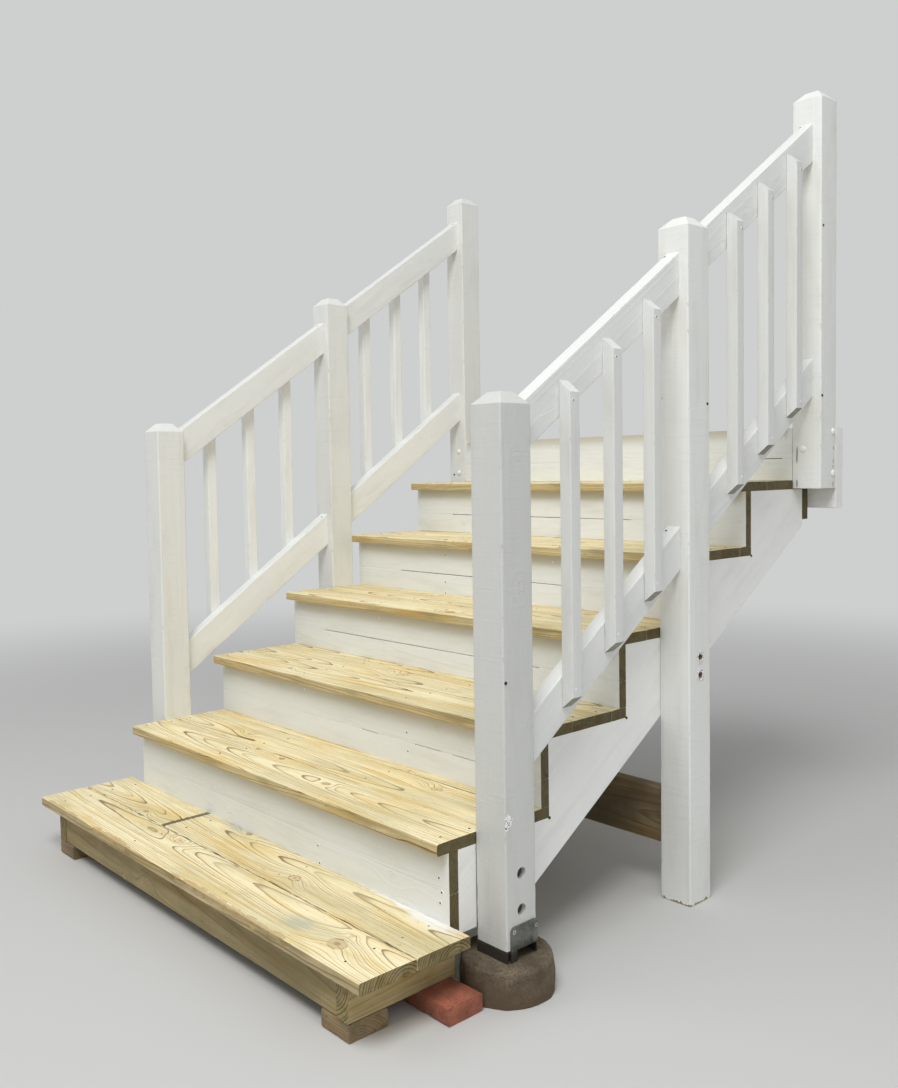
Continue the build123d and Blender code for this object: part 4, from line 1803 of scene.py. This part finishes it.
@dataclass
class Fixings:
    """The screws of the stair, gathered by what they sit in.

    The lines are where the screws stand across the stair, and the rows how far they are from a board's front.
    """

    joist_lines: tuple[float, ...] = (-0.666, -0.2300, 0.2290, 0.6655)
    box_lines: tuple[float, ...] = (-0.683, -0.237, 0.219, 0.665)
    tread_rows: tuple[float, ...] = (0.035, 0.112, 0.175, 0.25)
    box_rows: tuple[float, ...] = (0.035, 0.108, 0.178, 0.25)
    board_spread: float = 0.006
    riser_spread: float = 0.004
    seen_screws: dict[tuple[int, int], tuple[float, ...]] = field(
        default_factory=lambda: {
            (1, 2): (0.1985, 0.157), (1, 3): (0.2446, 0.2158, 0.1924), (2, 2): (0.4192, 0.372),
            (4, 1): (0.813, 0.726, 0.690),
        }
    )
    rail_inset: float = 0.0085
    rail_end: float = 0.0167
    baluster_shift: float = 0.006
    head_drop: float = 0.018
    foot_rise: float = 0.019
    saw_drop: float = 0.0264

    def heads(self, name: str, places: Iterable, slot: str, finishes: Sequence[Finish], *head: float) -> None:
        """Set a group of screw heads.

        Args:
            name: the piece's name.
            places: where each head sits and the way it faces.
            slot: the record's material slot.
            finishes: the finish of the heads and of their recesses.
            head: a head's radius, its height and the radius of its recess.
        """
        piece = Piece(name)
        for point, out in places:
            piece.take(ScrewHead(*head).carve(), facing(point, out))
        piece.set_down(slot, finishes)

    def risers(self) -> None:
        """Screw the risers to the stringers: most heads are painted over, and some show their dark recess."""
        open_heads, filled_heads = [], []
        for k in range(1, 7):
            low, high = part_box(f"riser_{k}")
            for number, x in enumerate(self.joist_lines):
                spread = random.Random(k * 17 + round(x * 100))
                seen = self.seen_screws.get((k, number), ())
                shares = [
                    share + spread.uniform(-0.03, 0.03)
                    for share in ((0.2, 0.47, 0.8) if abs(x) > 0.6 else (0.16, 0.62, 0.84))
                ]
                for z in seen or [low.z + (high.z - low.z) * share for share in shares]:
                    point = (x + spread.uniform(-self.riser_spread, self.riser_spread), low.y, z)
                    (open_heads if seen else filled_heads).append((point, -BACK))
        dark, filled = (Finish.PAINT_HEAD, Finish.DARK_SCREW), (Finish.PAINT_RISER, Finish.PAINT_RISER)
        self.heads("riser_screws", open_heads, "painted_wood", dark, 0.0046, 0.0010, 0.0025)
        self.heads("riser_screws_painted", filled_heads, "painted_wood", filled, 0.0040, 0.0004, 0.0018)

    def boards(self) -> None:
        """Screw the treads and the top of the box step down."""
        lines = [
            (f"tread_{k}", x, k * 31 + round(x * 100), self.tread_rows)
            for k in range(1, 6)
            for x in self.joist_lines
        ]
        lines += [("box_front_board", x, round(x * 1000), self.box_rows) for x in self.box_lines]
        places = []
        for node, x, seed, rows in lines:
            low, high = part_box(node)
            spread = random.Random(seed)
            for row in rows:
                off = spread.uniform(-self.board_spread, self.board_spread)
                places.append(((x + off, low.y + row, high.z), UP))
        dark = (Finish.DARK_SCREW, Finish.DARK_SCREW)
        self.heads("board_screws", places, "galvanised_steel", dark, 0.0028, 0.0003, 0.0014)

    def rails(self) -> None:
        """Screw the rails to the posts and the balusters to the rails."""
        open_heads, small_heads, filled_heads = [], [], []
        railing = Railing()
        for hand, side in HANDS:
            for bay, kinds in zip(BAYS, (("top", "bottom"), ("top",))):
                for kind in kinds:
                    low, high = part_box(f"rail_{kind}_{bay}_{hand}")
                    slope = railing.pitch[kind]
                    x = (low.x if side > 0 else high.x) + side * self.rail_inset
                    point = (x, high.y - self.rail_end, high.z - self.rail_end * slope)
                    open_heads.append((point, Vector((0, -slope, 1)).normalized()))
                node = f"balusters_{bay}_{hand}"
                low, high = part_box(node)
                x = high.x if side > 0 else low.x
                shift = self.baluster_shift if bay == "upper" else -self.baluster_shift
                for y, foot, head in railing.stations(node):
                    top, bottom = head - railing.bevel - self.head_drop, foot + railing.bevel + self.foot_rise
                    small_heads.append(((x, y + shift, top), RIGHT * side))
                    filled_heads.append(((x, y + shift, bottom), RIGHT * side))
        dark, filled = (Finish.PAINT_HEAD, Finish.DARK_SCREW), (Finish.PAINT_HEAD, Finish.PAINT_HEAD)
        self.heads("rail_screws", open_heads, "painted_wood", dark, 0.0044, 0.0014, 0.0033)
        self.heads("baluster_screws", small_heads, "painted_wood", dark, 0.0038, 0.0008, 0.0020)
        self.heads("rail_screws_painted", filled_heads, "painted_wood", filled, 0.0036, 0.0004, 0.0017)

    def marks(self) -> None:
        """Make dark discs at the ends of the saw cuts in the notches and at the nail holes of the posts:
        painted shade of these cuts and holes.
        """
        places = []
        for k in range(1, 5):
            nodes = (f"tread_{k}", f"riser_{k + 1}", "stringer_right")
            tread, riser, stringer = (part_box(node)[1] for node in nodes)
            for side in (1, -1):
                places.append(((side * stringer.x, riser.y + 0.001, tread.z - self.saw_drop), RIGHT * side))
        nodes = ("post_front_right", "post_mid_right", "post_top_right", "post_top_left")
        front, mid, top, left = (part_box(node) for node in nodes)
        places += [
            ((front[1].x, front[0].y + 0.0058, 0.6553), RIGHT),
            ((0.7000, mid[0].y, 1.2561), -BACK),
            ((mid[1].x, 0.1940, 1.2405), RIGHT),
            ((top[1].x, top[0].y + 0.0100, 1.7595), RIGHT),
            ((top[1].x, top[0].y + 0.0060, 1.2830), RIGHT),
            ((-0.7223, left[0].y, 1.3188), -BACK),
            ((-0.7568, left[0].y, 1.0705), -BACK),
        ]
        dark = (Finish.DARK_SCREW, Finish.DARK_SCREW)
        self.heads("saw_kerf_and_hole_shade_discs", places, "painted_wood", dark, 0.0038, 0.0013, 0.0020)

    def build(self) -> None:
        """Set every screw and mark."""
        self.risers()
        self.boards()
        self.rails()
        self.marks()


# the studio


@dataclass
class Studio:
    """A pale floor, soft light and the camera at the photograph's place."""

    backdrop: Colour = ink(206, 207, 207)
    floor: Colour = ink(206, 206, 204)
    place: tuple[float, float, float] = (2.2247, -1.9833, 1.0855)
    yaw: float = 47.7298
    pitch: float = -2.8132
    roll: float = -0.8911
    focal: float = 1025.05
    image_height: int = 1088
    rise: float = 22.74
    sensor: float = 36.0

    def camera(self) -> None:
        """Set up the camera."""
        data = bpy.data.cameras.new("camera")
        data.sensor_fit, data.sensor_width, data.clip_end = "AUTO", self.sensor, 200.0
        data.lens = self.focal / self.image_height * self.sensor
        data.shift_y = -self.rise / self.image_height
        yaw, pitch, roll = (math.radians(a) for a in (self.yaw, self.pitch, self.roll))
        ahead = Vector((-math.sin(yaw) * math.cos(pitch), math.cos(yaw) * math.cos(pitch), math.sin(pitch)))
        level = Vector((math.cos(yaw), math.sin(yaw), 0))
        upright = level.cross(ahead)
        right = level * math.cos(roll) + upright * math.sin(roll)
        top = upright * math.cos(roll) - level * math.sin(roll)
        camera = new_object("camera", data)
        camera.matrix_world = Matrix((*zip(right, top, -ahead, self.place), (0, 0, 0, 1)))
        bpy.context.scene.camera = camera

    def ground(self) -> None:
        """Lay the floor, which goes over into the backdrop's colour far from the stair."""
        bm = bmesh.new()
        bmesh.ops.create_circle(bm, cap_ends=True, segments=64, radius=60.0)
        bmesh.ops.translate(bm, vec=(0, 0, -0.0005), verts=bm.verts)
        mesh = bpy.data.meshes.new("floor")
        bm.to_mesh(mesh)
        bm.free()
        nodes = Nodes.of("pale_floor")
        nodes.surface({"Base Color": self.floor, "Roughness": 0.9, "Specular IOR Level": 0.1})
        far = nodes.length(*nodes.place().parts()[:2]).fade(2.2, 6.0)
        glow = nodes.wire("Emission", {"Color": self.backdrop})
        shade = Wire(nodes, nodes.tree.nodes["Principled BSDF"].outputs[0])
        seen = nodes.wire("LightPath", {}, "Is Camera Ray")
        joined = nodes.wire("MixShader", {0: far * seen, 1: shade, 2: glow})
        nodes.feed(nodes.tree.nodes["Material Output"].inputs["Surface"], joined)
        mesh.materials.append(nodes.owner)
        new_object("floor", mesh)

    def world(self) -> None:
        """Give the world its even light and its backdrop."""
        world = bpy.data.worlds.new("studio")
        bpy.context.scene.world = world
        nodes = Nodes(world)
        nodes.tree.nodes.clear()
        even = nodes.wire("Background", {"Color": (0.97, 0.985, 1.0), "Strength": 0.43})
        backdrop = nodes.wire("Background", {"Color": self.backdrop})
        mirrored = nodes.wire("LightPath", {}, "Is Glossy Ray")
        seen = nodes.wire("LightPath", {}, "Is Camera Ray").most(mirrored)
        nodes.add("OutputWorld", {"Surface": nodes.wire("MixShader", {0: seen, 1: even, 2: backdrop})})

    def lamp(self, name: str, place: Sequence[float], aim: Sequence[float], size: float, power: int) -> None:
        """Hang one soft lamp.

        Args:
            name: the lamp's name.
            place: where it hangs.
            aim: the point it looks at.
            size: the width of its panel.
            power: its power in watts.
        """
        data = bpy.data.lights.new(name, "AREA")
        data.shape, data.size, data.energy = "DISK", size, power
        lamp = new_object(name, data)
        lamp.location = place
        lamp.rotation_euler = (Vector(aim) - Vector(place)).to_track_quat("-Z", "Y").to_euler()

    def build(self) -> None:
        """Set up the whole studio."""
        self.camera()
        self.ground()
        self.world()
        self.lamp("overhead", (2.4, -3.2, 5.9), (0.0, -0.2, 0.6), 3.1, 254)
        self.lamp("front_left", (-2.2, -3.8, 5.2), (0.0, 0.0, 0.8), 3.5, 44)
        self.lamp("right_fill", (5.2, -0.6, 2.4), (0.0, 0.0, 0.8), 4.0, 16)
        bpy.context.scene.view_settings.view_transform = "Standard"


def main() -> None:
    """Build the studio and the stair, part by part."""
    logging.basicConfig(level=logging.INFO, format="%(name)s %(message)s")
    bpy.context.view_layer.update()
    Studio().build()
    for part in (BoxStep(), Flight(), Stringers(), Posts(), Railing(), Footings(), HeadFraming(), Fixings()):
        log.info("building %s", type(part).__name__)
        part.build()


if __name__ == "__main__":
    main()
